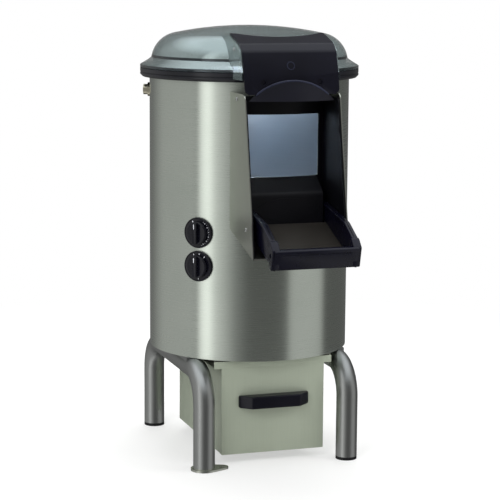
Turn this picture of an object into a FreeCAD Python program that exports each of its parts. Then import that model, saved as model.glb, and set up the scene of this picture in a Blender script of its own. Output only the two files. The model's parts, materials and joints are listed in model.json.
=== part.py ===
# Floor-standing electric potato peeler: a steel drum on two bent-tube frames, with a clear lid,
# a discharge chute with a drop-down tray, a spinning abrasive disc and a filter drawer below.
# Millimetres, +Z up, the front faces -Y, and the origin is on the floor under the drum's axis.
# A distance to the front is called reach here, so reach is minus y.
import FreeCAD, Part
import math
import os
import Sketcher

doc = FreeCAD.newDocument("potato_peeler")
sheet = doc.addObject("Spreadsheet::Sheet", "Sizes")


class Size:
    """A number together with the sheet formula that it comes from."""

    def __init__(self, text, value):
        self.text = text
        self.value = float(value)

    def joined(self, other, sign, value):
        return Size("(%s %s %s)" % (self.text, sign, asSize(other).text), value)

    def __add__(self, other):
        return self.joined(other, "+", self.value + asSize(other).value)

    def __radd__(self, other):
        return asSize(other) + self

    def __sub__(self, other):
        return self.joined(other, "-", self.value - asSize(other).value)

    def __rsub__(self, other):
        return asSize(other) - self

    def __mul__(self, other):
        return self.joined(other, "*", self.value * asSize(other).value)

    def __rmul__(self, other):
        return asSize(other) * self

    def __truediv__(self, other):
        return self.joined(other, "/", self.value / asSize(other).value)

    def __neg__(self):
        return Size("(-1 * %s)" % self.text, -self.value)


def asSize(number):
    return number if isinstance(number, Size) else Size("(%r)" % number, number)


def root(number):
    return Size("sqrt(%s)" % number.text, math.sqrt(number.value))


def sine(angle):
    return Size("sin(%s)" % asSize(angle).text, math.sin(math.radians(asSize(angle).value)))


def cosine(angle):
    return Size("cos(%s)" % asSize(angle).text, math.cos(math.radians(asSize(angle).value)))


def chord(radius, half):
    """How far a circle's edge lies from its centre at a sideways distance of half."""
    return root(radius * radius - half * half)


# The driving dimensions, kept in the sheet
sizes = {
    # The drum and its rim
    "drum_radius": 200, "drum_wall": 1.5, "drum_top": 760, "rim_width": 15, "rim_wall": 1.5,
    "gasket_radius": 218.8, "gasket_top": 771, "gasket_bottom": 753.5, "gasket_chamfer": 4,
    "sheet_wall": 2, "moving_gap": 0.3, "gasket_gap": 1, "base_plate": 3, "drill_length": 40,
    "tool_over": 1, "running_gap": 0.05,
    # The stand: two U frames of bent tube
    "tube_radius": 21.2, "tube_wall": 2, "frame_side": 148.4, "leg_reach": 184.9, "frame_axis": 190,
    "bend_radius": 64, "leg_end": 6, "anchor_plate": 4, "anchor_disc": 26, "anchor_arm": 37,
    "anchor_tip": 12, "anchor_hole": 4.5, "saddle_length": 60, "saddle_width": 34, "saddle_depth": 9,
    "plug_depth": 18,
    # The clear lid
    "lid_height": 855, "lid_lip": 6, "lid_step_radius": 204, "lid_step": 785.5, "dome_radius": 196.5,
    "dome_foot": 791, "dome_curve": 58, "crown_radius": 148, "crown_edge": 840, "lid_wall": 3,
    # The lid's porch and the hood that covers it
    "porch_side": 97, "porch_foot": 760, "hood_side": 94, "hood_wall": 3.5, "hood_top": 845,
    "hood_brow_reach": 222, "hood_brow": 829, "hood_cheek_reach": 240, "hood_cheek": 814,
    "hood_front_reach": 253, "hood_front": 774, "hood_end_reach": 261, "hood_end": 734,
    "hood_edge_radius": 190, "lip_half": 74, "lip_foot": 733, "lip_peak": 761, "lip_reach": 279,
    "lip_end": 722, "lip_lean": 20, "lip_curve": 190, "lip_wall": 3.5, "hood_corner": 8,
    "dimple_side": 56, "dimple_height": 757,
    "dimple_radius": 5, "hood_start_reach": 136.5, "hood_start": 846, "hood_crest_reach": 169.5,
    "brow_round": 34, "hood_cheek_round": 14, "lip_band": 12,
    "hood_screw_reach": 203, "hood_screw_height": 816, "crest_share": 0.35,
    "porch_room": 20, "lip_tube": 200, "dimple_reach": 254.5,
    # The discharge chute
    "window_side": 80, "window_foot": 572.5, "window_top": 692, "cheek_side": 93.6,
    "cheek_back_foot": 483, "cheek_top": 735, "cheek_brow": 262.4, "cheek_knee_reach": 309,
    "cheek_knee": 498, "cheek_tip_reach": 320, "cheek_tip": 432, "cheek_round": 12, "liner_wall": 3,
    "liner_top": 727, "liner_inset": 3, "apron_side": 72, "apron_reach": 238, "apron_brow": 545,
    "apron_foot": 484, "boss_half": 67, "boss_height": 46, "boss_middle": 513, "boss_depth": 1.2,
    "screw_head": 4, "screw_proud": 2, "cheek_screw_top_reach": 216, "cheek_screw_top": 724,
    "cheek_screw_foot_reach": 277, "cheek_screw_foot": 484, "cheek_drop": 6,
    # The drop-down tray, drawn open
    "pivot_reach": 200, "pivot_height": 518, "pin_radius": 6, "tray_side": 81, "tray_wall": 4,
    "floor_start": 240, "floor_start_height": 482, "floor_wall": 2, "tray_brow_reach": 218,
    "tray_brow": 526, "tray_shoulder_reach": 342, "tray_shoulder": 502, "tray_nose_reach": 386,
    "tray_nose": 478, "tray_end_reach": 398, "tray_end": 459, "bar_reach": 407.8, "bar_top": 460,
    "bar_foot_reach": 393.8, "bar_foot": 423.5, "rim_band": 5, "rim_overhang": 4, "lobe_radius": 11.5,
    "lobe_flat": 1,
    "bar_depth": 14, "bar_round": 3, "ledge_width": 6, "ledge_lift": 3, "shoulder_round": 48,
    # The knobs on the drum
    "knob_angle": 46.9, "timer_height": 460.8, "selector_height": 395.3, "dial_radius": 30,
    "dial_depth": 4.5, "knob_radius": 22, "knob_depth": 6, "grip_depth": 15, "grip_width": 11,
    "spindle_radius": 3, "spindle_gap": 1, "spindle_start": 8, "switch_side": 21, "switch_depth": 38,
    "neck_radius": 7, "neck_length": 8, "neck_gap": 0.2,
    # The drive
    "chamber_floor": 490, "floor_plate": 2, "shaft_radius": 12.45, "shaft_foot": 320,
    "housing_radius": 36, "housing_foot": 400, "bearing_radius": 26, "bearing_width": 15,
    "seal_width": 8, "housing_flange": 60, "flange_plate": 6, "disc_radius": 190, "disc_foot": 500,
    "disc_plate": 9, "grit_plate": 3, "wave_height": 5, "wave_radius": 60, "paddle_gap": 2,
    "pulley_radius": 85, "pulley_foot": 330, "pulley_width": 20, "motor_back": 120, "motor_radius": 60,
    "motor_top": 478, "bracket_foot": 356, "bracket_plate": 6, "motor_pulley_radius": 22,
    "motor_shaft_radius": 9.45, "pulley_flange": 5, "belt_width": 14, "belt_gap": 0.4, "post_radius": 6,
    "bracket_side": 68, "disc_nut_radius": 22, "disc_nut_height": 8, "paddle_hub": 60,
    "paddle_width": 6, "belt_thickness": 4, "housing_step": 3,
    "housing_lip": 6, "wave_start": 40, "shaft_end": 4, "motor_cap": 12, "motor_step": 8, "grit_bore": 30,
    # The services
    "drain_reach": 130, "drain_radius": 30, "drain_foot": 204, "inlet_angle": 115, "inlet_height": 724,
    "inlet_radius": 10.5, "inlet_stem": 9, "inlet_reach": 215, "nut_radius": 14, "gland_angle": 160,
    "gland_height": 245,
    "gland_radius": 12, "gland_bore": 5, "gland_reach": 224, "nut_height": 6, "inlet_wall": 2.5,
    "nozzle_length": 14, "nozzle_radius": 13.5, "nozzle_bore": 3, "gland_tail_radius": 9,
    "gland_tail_length": 20, "drain_wall": 2, "box_left": 70, "box_right": 130, "box_back": 60,
    "box_front": 30, "inlet_inside": 12, "box_height": 62,
    # The filter drawer
    "drawer_reach": 164, "drawer_side": 106.3, "drawer_foot": 20, "drawer_top": 206,
    "drawer_back": 142.5, "ear_side": 122, "ear_foot": 193.5, "ear_top": 208, "drawer_wall": 1.5,
    "box_inset": 2, "slide_width": 14, "rail_wall": 1.8, "handle_side": 73, "handle_front_side": 50,
    "handle_foot": 114, "handle_top": 139, "handle_reach": 190, "handle_wall": 5, "basket_gap": 8,
    "basket_lift": 18, "outlet_radius": 20, "outlet_wall": 2, "outlet_length": 28, "outlet_height": 50,
    "flange_lift": 4, "slot_pitch": 40, "slot_width": 10, "slot_start": -110,
    "slot_margin": 20, "basket_wall": 1,
    # The lid hinge at the back
    "hinge_back": 233, "hinge_height": 772, "hinge_pin": 4, "knuckle_radius": 9, "knuckle_side": 19,
    "ear_plate": 4, "hinge_foot": 690, "hinge_pad_top": 745, "hinge_pad_side": 32,
    "arm_rise": 8, "ear_round": 8, "ear_gap": 2, "pin_head": 2,
}


class Sizes:
    """The sheet's cells, one attribute for each driving dimension."""


S = Sizes()
for row, (name, value) in enumerate(sizes.items(), 1):
    sheet.set("A%d" % row, name)
    sheet.set("B%d" % row, str(value))
    sheet.setAlias("B%d" % row, name)
    setattr(S, name, Size("Sizes." + name, value))

deck = S.frame_axis + S.tube_radius            # underside of the drum, on top of the frames
drum_bore = S.drum_radius - S.drum_wall
rim_radius = S.drum_radius + S.rim_width
lid_foot = S.gasket_top + S.moving_gap
spindle_room = S.spindle_radius + S.spindle_gap

pieces = []                                     # the finished sub-parts, in order


def bind(item, path, formula):
    item.setExpression(path, asSize(formula).text)


def place(item, across, reach, height):
    """Ties an object's place to the sheet, with reach counted to the front."""
    bind(item, "Placement.Base.x", asSize(across))
    bind(item, "Placement.Base.y", -asSize(reach))
    bind(item, "Placement.Base.z", asSize(height))
    return item


def turn(item, axis, degrees):
    item.Placement = FreeCAD.Placement(FreeCAD.Vector(), FreeCAD.Rotation(FreeCAD.Vector(*axis), degrees))
    return item


def radially(item, angle, height, start, tilt=True):
    """Stands an object's own Z axis out of the drum at an angle from the front towards -X."""
    along = "rotation(vector(1; 0; 0); 90)" if tilt else "rotation(vector(0; 0; 1); 0)"
    a, r, z = asSize(angle).text, asSize(start).text, asSize(height).text
    item.setExpression("Placement", "placement(vector(-sin(%s) * %s; -cos(%s) * %s; %s); "
                       "rotation(vector(0; 0; 1); -1 * %s) * %s)" % (a, r, a, r, z, a, along))
    return item


def corner(across, up, round=None, bow=None):
    """A profile's corner: round fillets it, and bow makes the edge that leaves it an arc."""
    return {"at": (asSize(across), asSize(up)), "round": round, "bow": bow}


def side(reach, up, round=None, bow=None):
    return corner(-asSize(reach), up, round, bow)


def drawn(body, plane, corners, offset=0, closed=True):
    """A fully constrained outline on one of the body's origin planes."""
    sketch = body.newObject("Sketcher::SketchObject", body.Name + "_outline")
    support = [f for f in body.Origin.OriginFeatures if f.Role == plane][0]
    sketch.AttachmentSupport = [(support, "")]
    sketch.MapMode = "FlatFace"
    bind(sketch, ".AttachmentOffset.Base.z", offset)
    points = [FreeCAD.Vector(c["at"][0].value, c["at"][1].value, 0) for c in corners]
    count = len(points)
    starts, ends = list(points), list(points)
    for i, c in enumerate(corners):
        if c["round"]:
            before = (points[i - 1] - points[i]).normalize()
            after = (points[(i + 1) % count] - points[i]).normalize()
            back = c["round"].value / math.tan(before.getAngle(after) / 2)
            ends[i] = points[i] + before * back
            starts[i] = points[i] + after * back
    edges = []
    for i in range(count if closed else count - 1):
        a, b = starts[i], ends[(i + 1) % count]
        bow = corners[i]["bow"]
        if bow:
            bow = asSize(bow)
            half = (b - a).Length / 2
            rise = abs(bow.value) - math.sqrt(bow.value ** 2 - half ** 2)
            left = FreeCAD.Vector(a.y - b.y, b.x - a.x, 0).normalize()
            middle = (a + b) / 2 + left * math.copysign(rise, bow.value)
            edges.append(sketch.addGeometry(Part.Arc(a, middle, b)))
            radius = sketch.addConstraint(Sketcher.Constraint("Radius", edges[-1], abs(bow.value)))
            sign = 1 if bow.value > 0 else -1
            bind(sketch, "Constraints[%d]" % radius, bow * sign)
        else:
            edges.append(sketch.addGeometry(Part.LineSegment(a, b)))

    def end(edge, point):
        return min((1, 2), key=lambda k: (sketch.getPoint(edge, k) - point).Length)

    def locate(geometry, position, c):
        for kind, value in zip(("DistanceX", "DistanceY"), c["at"]):
            n = sketch.addConstraint(Sketcher.Constraint(kind, -1, 1, geometry, position, value.value))
            bind(sketch, "Constraints[%d]" % n, value)

    for i, c in enumerate(corners):
        last, next = edges[i - 1], edges[i % len(edges)]
        if not closed and i in (0, count - 1):
            edge = edges[0] if i == 0 else edges[-1]
            locate(edge, end(edge, points[i]), c)
        elif c["round"]:
            p, q = ends[i], starts[i]
            before = (points[i - 1] - points[i]).normalize()
            after = (points[(i + 1) % count] - points[i]).normalize()
            centre = points[i] + (before + after).normalize() * (
                c["round"].value / math.sin(before.getAngle(after) / 2))
            middle = centre + (points[i] - centre).normalize() * c["round"].value
            arc = sketch.addGeometry(Part.Arc(p, middle, q))
            virtual = sketch.addGeometry(Part.Point(points[i]))
            sketch.addConstraint(Sketcher.Constraint("PointOnObject", virtual, 1, last))
            sketch.addConstraint(Sketcher.Constraint("PointOnObject", virtual, 1, next))
            sketch.addConstraint(Sketcher.Constraint("Tangent", last, end(last, p), arc, end(arc, p)))
            sketch.addConstraint(Sketcher.Constraint("Tangent", arc, end(arc, q), next, end(next, q)))
            n = sketch.addConstraint(Sketcher.Constraint("Radius", arc, c["round"].value))
            bind(sketch, "Constraints[%d]" % n, c["round"])
            locate(virtual, 1, c)
        else:
            sketch.addConstraint(Sketcher.Constraint(
                "Coincident", last, end(last, points[i]), next, end(next, points[i])))
            locate(next, end(next, points[i]), c)
    sketch.Visibility = False
    return sketch


def newBody(name):
    return doc.addObject("PartDesign::Body", name)


def padded(name, plane, corners, start, length):
    """An outline pushed along its plane's normal, from start for a length."""
    body = newBody(name)
    sketch = drawn(body, plane, corners, start)
    pad = body.newObject("PartDesign::Pad", name + "_pad")
    pad.Profile = sketch
    bind(pad, "Length", length)
    return body


def across(name, corners, left, right):
    """A side-view outline pushed across the machine."""
    return padded(name, "YZ_Plane", corners, left, asSize(right) - left)


def turned(name, corners):
    """A profile of radius and height turned about the drum's axis."""
    body = newBody(name)
    sketch = drawn(body, "XZ_Plane", corners)
    spin = body.newObject("PartDesign::Revolution", name + "_turn")
    spin.Profile = sketch
    spin.ReferenceAxis = (sketch, ["V_Axis"])
    spin.Angle = 360
    return body


def ring(name, inner, outer, foot, top):
    return turned(name, [corner(inner, foot), corner(outer, foot), corner(outer, top), corner(inner, top)])


def rod(name, radius, length, direction="up"):
    item = doc.addObject("Part::Cylinder", name)
    bind(item, "Radius", radius)
    bind(item, "Height", length)
    if direction == "right":
        turn(item, (0, 1, 0), 90)
    if direction == "front":
        turn(item, (1, 0, 0), 90)
    return item


def block(name, left, right, back, front, foot, top):
    item = doc.addObject("Part::Box", name)
    bind(item, "Length", asSize(right) - left)
    bind(item, "Width", asSize(front) - back)
    bind(item, "Height", asSize(top) - foot)
    return place(item, left, front, foot)


def cut(name, base, *tools):
    item = doc.addObject("Part::Cut", name)
    item.Base = base
    item.Tool = tools[0] if len(tools) == 1 else join(name + "_tools", *tools)
    item.Refine = True
    return item


def join(name, *shapes):
    item = doc.addObject("Part::MultiFuse", name)
    item.Shapes = list(shapes)
    item.Refine = True
    return item


def overlap(name, *shapes):
    item = doc.addObject("Part::MultiCommon", name)
    item.Shapes = list(shapes)
    item.Refine = True
    return item


def group(name, *shapes):
    item = doc.addObject("Part::Compound", name)
    item.Links = list(shapes)
    return item


def piece(item, label):
    item.Label = label
    pieces.append(item)
    return item


def between(near, far, hand):
    """The left and right limits of a slab that lies between two distances on one side."""
    return (asSize(near), asSize(far)) if hand > 0 else (-asSize(far), -asSize(near))


def both(name, make):
    """The left and the right one of something, as make(name, -1) and make(name, 1)."""
    return [make(name + "_left", -1), make(name + "_right", 1)]


# Stand


def legFrame(label, hand):
    """A U of bent tube with its two legs down."""
    body = newBody(label)
    x = S.frame_side * hand
    legs = [side(S.leg_reach, S.leg_end), side(S.leg_reach, S.frame_axis, S.bend_radius),
            side(-S.leg_reach, S.frame_axis, S.bend_radius), side(-S.leg_reach, S.leg_end)]
    path = drawn(body, "YZ_Plane", legs, x, closed=False)
    section = body.newObject("Sketcher::SketchObject", label + "_section")
    floor = [f for f in body.Origin.OriginFeatures if f.Role == "XY_Plane"][0]
    section.AttachmentSupport = [(floor, "")]
    section.MapMode = "FlatFace"
    bind(section, ".AttachmentOffset.Base.z", S.leg_end)
    middle = FreeCAD.Vector(x.value, -S.leg_reach.value, 0)
    for radius in (S.tube_radius, S.tube_radius - S.tube_wall):
        circle = section.addGeometry(Part.Circle(middle, FreeCAD.Vector(0, 0, 1), radius.value))
        for kind, value in (("DistanceX", x), ("DistanceY", -S.leg_reach)):
            n = section.addConstraint(Sketcher.Constraint(kind, -1, 1, circle, 3, value.value))
            bind(section, "Constraints[%d]" % n, value)
        n = section.addConstraint(Sketcher.Constraint("Radius", circle, radius.value))
        bind(section, "Constraints[%d]" % n, radius)
    doc.recompute()
    pipe = body.newObject("PartDesign::AdditivePipe", label + "_pipe")
    pipe.Profile = section
    pipe.Spine = (path, ["Edge%d" % (i + 1) for i in range(len(path.Shape.Edges))])
    section.Visibility = False
    return piece(body, label)


legFrame("left_leg_frame", -1)
legFrame("right_leg_frame", 1)

saddles = []
for hand in (-1, 1):
    for end in (-1, 1):
        name = "saddle_%d%d" % (hand + 1, end + 1)
        x = S.frame_side * hand
        middle = (S.leg_reach - S.bend_radius - S.saddle_length / 2) * end
        pad = block(name, x - S.saddle_width / 2, x + S.saddle_width / 2, middle - S.saddle_length / 2,
                    middle + S.saddle_length / 2, deck - S.saddle_depth, deck)
        tube = place(rod(name + "_tube", S.tube_radius, S.leg_reach * 2, "front"), x, -S.leg_reach,
                     S.frame_axis)
        saddles.append(cut(name + "_seat", pad, tube))
piece(group("frame_saddles", *saddles), "frame_saddles")



def plug(name, hand, end):
    """A disc under a leg's end with a spigot up its bore."""
    disc = rod(name + "_disc", S.tube_radius, S.leg_end)
    spigot = rod(name + "_spigot", S.tube_radius - S.tube_wall, S.plug_depth)
    spots = [place(item, S.frame_side * hand, S.leg_reach * end, 0) for item in (disc, spigot)]
    return join(name, *spots)


rubber_corners = ((1, 1), (1, -1), (-1, -1))
piece(group("rubber_feet", *[plug("tip_%d" % i, *spot) for i, spot in enumerate(rubber_corners)]),
      "rubber_feet")

slope = (S.anchor_disc - S.anchor_tip) / S.anchor_arm     # sine of the straight sides' angle
lean = root(1 - slope * slope)
foot_x, foot_y = -S.frame_side, -S.leg_reach
anchor = padded("anchor_outline", "XY_Plane", [
    corner(foot_x + S.anchor_disc * slope, foot_y + S.anchor_disc * lean, bow=-S.anchor_disc),
    corner(foot_x - S.anchor_disc, foot_y, bow=-S.anchor_disc),
    corner(foot_x + S.anchor_disc * slope, foot_y - S.anchor_disc * lean),
    corner(foot_x + S.anchor_arm + S.anchor_tip * slope, foot_y - S.anchor_tip * lean, bow=-S.anchor_tip),
    corner(foot_x + S.anchor_arm + S.anchor_tip, foot_y, bow=-S.anchor_tip),
    corner(foot_x + S.anchor_arm + S.anchor_tip * slope, foot_y + S.anchor_tip * lean)],
    0, S.anchor_plate)
anchor_hole = place(rod("anchor_hole", S.anchor_hole, S.anchor_plate), foot_x + S.anchor_arm, S.leg_reach, 0)
piece(join("anchor_foot", cut("anchor_sheet", anchor, anchor_hole), plug("anchor_plug", -1, 1)),
      "anchor_foot")

# Drum

shell = turned("drum_shell", [
    corner(drum_bore, deck), corner(S.drum_radius, deck), corner(S.drum_radius, S.drum_top),
    corner(rim_radius, S.drum_top), corner(rim_radius, S.drum_top + S.rim_wall),
    corner(drum_bore, S.drum_top + S.rim_wall)])
window = block("window", -S.window_side, S.window_side, 0, S.drum_radius * 2, S.window_foot, S.window_top)


def drilled(name, radius, angle, height):
    """A tool that drills through the drum's wall."""
    return radially(rod(name, radius, S.drill_length), angle, height, drum_bore - S.drill_length / 2)


spindle_holes = [drilled("spindle_hole_%d" % i, spindle_room, S.knob_angle, z)
                 for i, z in enumerate((S.timer_height, S.selector_height))]
inlet_hole = drilled("inlet_hole", S.inlet_stem, S.inlet_angle, S.inlet_height)
gland_hole = drilled("gland_hole", S.gland_tail_radius, S.gland_angle, S.gland_height)
piece(cut("outer_casing", shell, window, inlet_hole, gland_hole, *spindle_holes), "outer_casing")

drain_hole = place(rod("drain_hole", S.drain_radius, S.drill_length), 0, S.drain_reach,
                   deck - S.drill_length / 2)
plate = place(rod("base_disc", drum_bore, S.base_plate), 0, 0, deck)
piece(cut("base_plate", plate, drain_hole), "base_plate")

piece(turned("rim_gasket", [
    corner(S.drum_radius + S.gasket_gap, S.gasket_bottom), corner(S.gasket_radius - S.gasket_chamfer,
        S.gasket_bottom),
    corner(S.gasket_radius, S.gasket_bottom + S.gasket_chamfer), corner(S.gasket_radius, S.gasket_top),
    corner(drum_bore, S.gasket_top), corner(drum_bore, S.drum_top + S.rim_wall),
    corner(rim_radius, S.drum_top + S.rim_wall), corner(rim_radius, S.drum_top),
    corner(S.drum_radius + S.gasket_gap, S.drum_top)]), "rim_gasket")

# Lid hinge

pad_ring = ring("hinge_pad_ring", S.drum_radius, S.drum_radius + S.ear_plate, S.hinge_foot, S.hinge_pad_top)
pad_area = block("hinge_pad_area", -S.hinge_pad_side, S.hinge_pad_side, -S.drum_radius * 2, 0,
                 S.hinge_foot, S.hinge_pad_top)
hinge_pad = overlap("hinge_pad", pad_ring, pad_area)
back = S.hinge_back
ear_clear = -(S.gasket_radius + S.ear_gap)
ear_back = -(back + S.ear_round + S.ear_gap)
ear_profile = [side(-S.drum_radius, S.hinge_foot), side(-S.drum_radius, S.hinge_pad_top),
               side(ear_clear, S.gasket_bottom - S.ear_gap), side(ear_clear, S.hinge_height + S.ear_round,
                   S.ear_plate),
               side(ear_back, S.hinge_height + S.ear_round + S.ear_gap, S.ear_round),
               side(ear_back, S.gasket_bottom, S.ear_round), side(-(S.drum_radius + S.ear_round),
                   S.hinge_foot)]
ear_in = S.knuckle_side + S.moving_gap
ears = both("hinge_ear", lambda n, hand: across(n, ear_profile, *between(ear_in, ear_in + S.ear_plate, hand)))
drum_core = place(rod("drum_core", S.drum_radius, S.drum_top), 0, 0, 0)
pin_bore = place(rod("bracket_bore", S.hinge_pin, S.hinge_pad_side * 2, "right"), -S.hinge_pad_side, -back,
                 S.hinge_height)
piece(cut("lid_hinge_bracket", join("bracket_blank", hinge_pad, *ears), drum_core, pin_bore),
      "lid_hinge_bracket")
pin_reach = ear_in + S.ear_plate + S.pin_head
pin = place(rod("hinge_pin", S.hinge_pin, pin_reach * 2, "right"), -pin_reach, -back, S.hinge_height)
pin_heads = both("pin_head", lambda n, hand: place(
    rod(n, S.hinge_pin + S.pin_head, S.pin_head, "right"), between(pin_reach, pin_reach + S.pin_head,
        hand)[0], -back,
    S.hinge_height))
piece(join("lid_hinge_pin", pin, *pin_heads), "lid_hinge_pin")

# Lid


def domeProfile(inset, foot):
    """The lid's section, drawn in by an even wall; the inside runs down to foot."""
    outer = inset == 0
    profile = [corner(0, foot)]
    if outer:
        profile += [corner(S.gasket_radius, foot), corner(S.gasket_radius, lid_foot + S.lid_lip),
                    corner(S.lid_step_radius, S.lid_step)]
    else:
        profile += [corner(S.dome_radius - inset, foot)]
    crown, rise = S.crown_radius - asSize(inset) / 2, S.lid_height - S.crown_edge
    sphere = (crown * crown + rise * rise) / (rise * 2)
    profile += [corner(S.dome_radius - inset, S.dome_foot, bow=-(S.dome_curve - inset)),
                corner(crown, S.crown_edge - inset, bow=-sphere), corner(0, S.lid_height - inset)]
    return profile


hood_line = [(S.hood_start_reach, S.hood_start), (S.hood_crest_reach, S.hood_top),
             (S.hood_brow_reach, S.hood_brow), (S.hood_cheek_reach, S.hood_cheek), (S.hood_front_reach,
                 S.hood_front)]


def underHood(inset):
    """The line of the hood's outer face, moved in: mostly down on the top and back on the front."""
    share = (S.crest_share, S.crest_share, 1, 1, 1)
    drop = (inset, inset, inset, 0, 0)
    return [side(r - share[i] * inset, z - drop[i]) for i, (r, z) in enumerate(hood_line)]


def porchProfile(inset, foot):
    """The porch's side view, inset below the hood's outer face and going on down to foot."""
    slope = (S.hood_end_reach - S.hood_front_reach) / (S.hood_front - S.hood_end)
    end = side(S.hood_front_reach + slope * (S.hood_front - foot) - inset, foot)
    return [side(0, foot), side(0, S.hood_top - S.porch_room)] + underHood(inset) + [end]


porch_inset = S.hood_wall
dome_out = turned("dome_outside", domeProfile(0, lid_foot))
porch_out = across("porch_outside", porchProfile(porch_inset, S.porch_foot), -S.porch_side, S.porch_side)
dome_in = turned("dome_inside", domeProfile(S.lid_wall, lid_foot - S.tool_over))
porch_in = across("porch_inside", porchProfile(porch_inset + S.lid_wall, S.porch_foot - S.tool_over),
                  -S.porch_side + S.lid_wall, S.porch_side - S.lid_wall)
gasket_room = place(rod("gasket_room", S.gasket_radius + S.moving_gap, S.drill_length), 0, 0,
                    lid_foot - S.drill_length)
lid_solid = join("lid_outside", dome_out, porch_out)
lid_room = join("lid_room", dome_in, porch_in)
piece(cut("lid_dome", lid_solid, lid_room, gasket_room), "lid_dome")


rounds = (None, None, S.brow_round, S.hood_cheek_round, None)
hood_outside = [side(r, z, rounds[i]) for i, (r, z) in enumerate(hood_line)] + [side(S.hood_end_reach,
    S.hood_end)]
hood_inside = [side(S.hood_end_reach - S.hood_wall, S.hood_end)] + underHood(S.hood_wall)[::-1]
hood_sheet = across("hood_sheet", hood_outside + hood_inside, -S.hood_side, S.hood_side)
hood_edge = place(rod("hood_edge", S.hood_edge_radius, S.lid_height * 2), 0, 0, 0)
hood_corners = both("hood_corner", lambda n, hand: padded(n, "XZ_Plane", [
    corner(x * hand, z) for x, z in (
        (S.hood_side + S.tool_over, S.hood_end - S.tool_over), (S.hood_side - S.hood_corner,
            S.hood_end - S.tool_over),
        (S.hood_side - S.hood_corner, S.hood_end), (S.hood_side, S.hood_end + S.hood_corner),
        (S.hood_side + S.tool_over, S.hood_end + S.hood_corner))], S.drum_radius, S.hood_side))
hood_shell = cut("hood_shell", hood_sheet, hood_edge, *hood_corners)

# The half-moon grip lip bulges out of the hood's foot: an arched outline meets a leaning cylinder.
rise = S.lip_peak - S.lip_foot
arch_radius = (S.lip_half * S.lip_half + rise * rise) / (2 * rise)


def lipSolid(name, inset):
    """The bulge, or the finger room inside it when inset by the wall."""
    half = S.lip_tube / 2
    arch = place(rod(name + "_arch", arch_radius - inset, S.hood_side, "front"), 0, S.drum_radius,
                 S.lip_peak - arch_radius)
    leaning = rod(name + "_lean", S.lip_curve - inset, S.lip_tube)
    leaning.setExpression("Placement", "placement(vector(0; -1 * (%s); %s); rotation(vector(1; 0; 0); %s))" % (
        (S.lip_reach - S.lip_curve / cosine(S.lip_lean) + half * sine(S.lip_lean)).text,
        (S.lip_end - half * cosine(S.lip_lean)).text, (-S.lip_lean).text))
    band = block(name + "_band", -S.hood_side, S.hood_side, S.hood_end_reach - S.lip_band,
                 S.lip_reach + S.lip_band,
                 S.lip_end - inset, S.lip_peak + S.tool_over)
    return overlap(name, arch, leaning, band)


room_foot = S.lip_end - S.lip_band
room_side = S.hood_side + S.tool_over
hood_back = S.hood_end_reach - S.hood_wall
hood_room = across("hood_room", [side(0, room_foot), side(0, S.hood_top - S.porch_room)] + underHood(S.hood_wall) +
                   [side(hood_back, S.hood_end), side(hood_back, room_foot)], -room_side, room_side)
behind_face = across("behind_face", [
    side(0, room_foot), side(0, S.hood_front), side(S.hood_front_reach, S.hood_front),
    side(S.hood_end_reach, S.hood_end), side(S.hood_end_reach, room_foot)], -room_side, room_side)
finger_room = cut("finger_room", lipSolid("lip_inside", S.lip_wall), behind_face)
lip_wall = cut("lip_wall", lipSolid("lip_outside", 0), finger_room, hood_room)
dimples = [place(rod("dimple_%d" % (hand + 1), S.dimple_radius, S.drill_length, "front"),
                 S.dimple_side * hand, S.dimple_reach, S.dimple_height) for hand in (-1, 1)]
piece(cut("lid_hood", join("hood_blank", hood_shell, lip_wall), *dimples), "lid_hood")



def screwHeads(label, face, spots):
    """Flat screw heads on both side faces, at each reach and height of spots."""
    heads = []
    for i, (reach, height) in enumerate(spots):
        heads += both(label + "_%d" % i, lambda n, hand: place(
            rod(n, S.screw_head, S.screw_proud, "right"), between(face, face + S.screw_proud, hand)[0],
            reach, height))
    return piece(group(label, *heads), label)


screwHeads("hood_screws", S.porch_side, [(S.hood_screw_reach, S.hood_screw_height)])

knuckle_barrel = place(rod("knuckle_barrel", S.knuckle_radius, S.knuckle_side * 2, "right"),
                       -S.knuckle_side, -back, S.hinge_height)
arm_start, arm_back = -(S.lid_step_radius - S.ear_gap), -(back + S.ear_gap)
knuckle_arm = across("knuckle_arm", [
    side(arm_start, lid_foot + S.lid_lip), side(arm_start, S.lid_step + S.arm_rise, S.arm_rise / 2),
    side(arm_back, S.hinge_height + S.knuckle_radius), side(arm_back, S.hinge_height),
    side(-(S.gasket_radius + S.gasket_gap), lid_foot + S.gasket_gap)], -S.knuckle_side, S.knuckle_side)
knuckle_room = place(rod("knuckle_bore", S.hinge_pin + S.running_gap, S.hinge_pad_side * 2, "right"),
                     -S.hinge_pad_side, -back, S.hinge_height)
dome_seat = turned("dome_seat", domeProfile(0, lid_foot))
piece(cut("lid_hinge_knuckle", join("knuckle_blank", knuckle_barrel, knuckle_arm), dome_seat, knuckle_room),
      "lid_hinge_knuckle")

# Chute

chute_back = S.drum_radius * 0.8                 # inside the drum, where its round tool trims every piece
chute_foot = S.cheek_back_foot - S.cheek_drop
cheek_profile = [side(chute_back, chute_foot), side(chute_back, S.cheek_top),
                 side(S.cheek_brow, S.cheek_top, S.cheek_round), side(S.cheek_knee_reach, S.cheek_knee),
                 side(S.cheek_tip_reach, S.cheek_tip)]
drum_tool = place(rod("drum_tool", S.drum_radius, S.lid_height), 0, 0, 0)
for label, hand in (("left_chute_cheek", -1), ("right_chute_cheek", 1)):
    sheet_blank = across(label + "_blank", cheek_profile, *between(S.cheek_side,
        S.cheek_side + S.sheet_wall, hand))
    piece(cut(label, sheet_blank, drum_tool), label)

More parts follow.
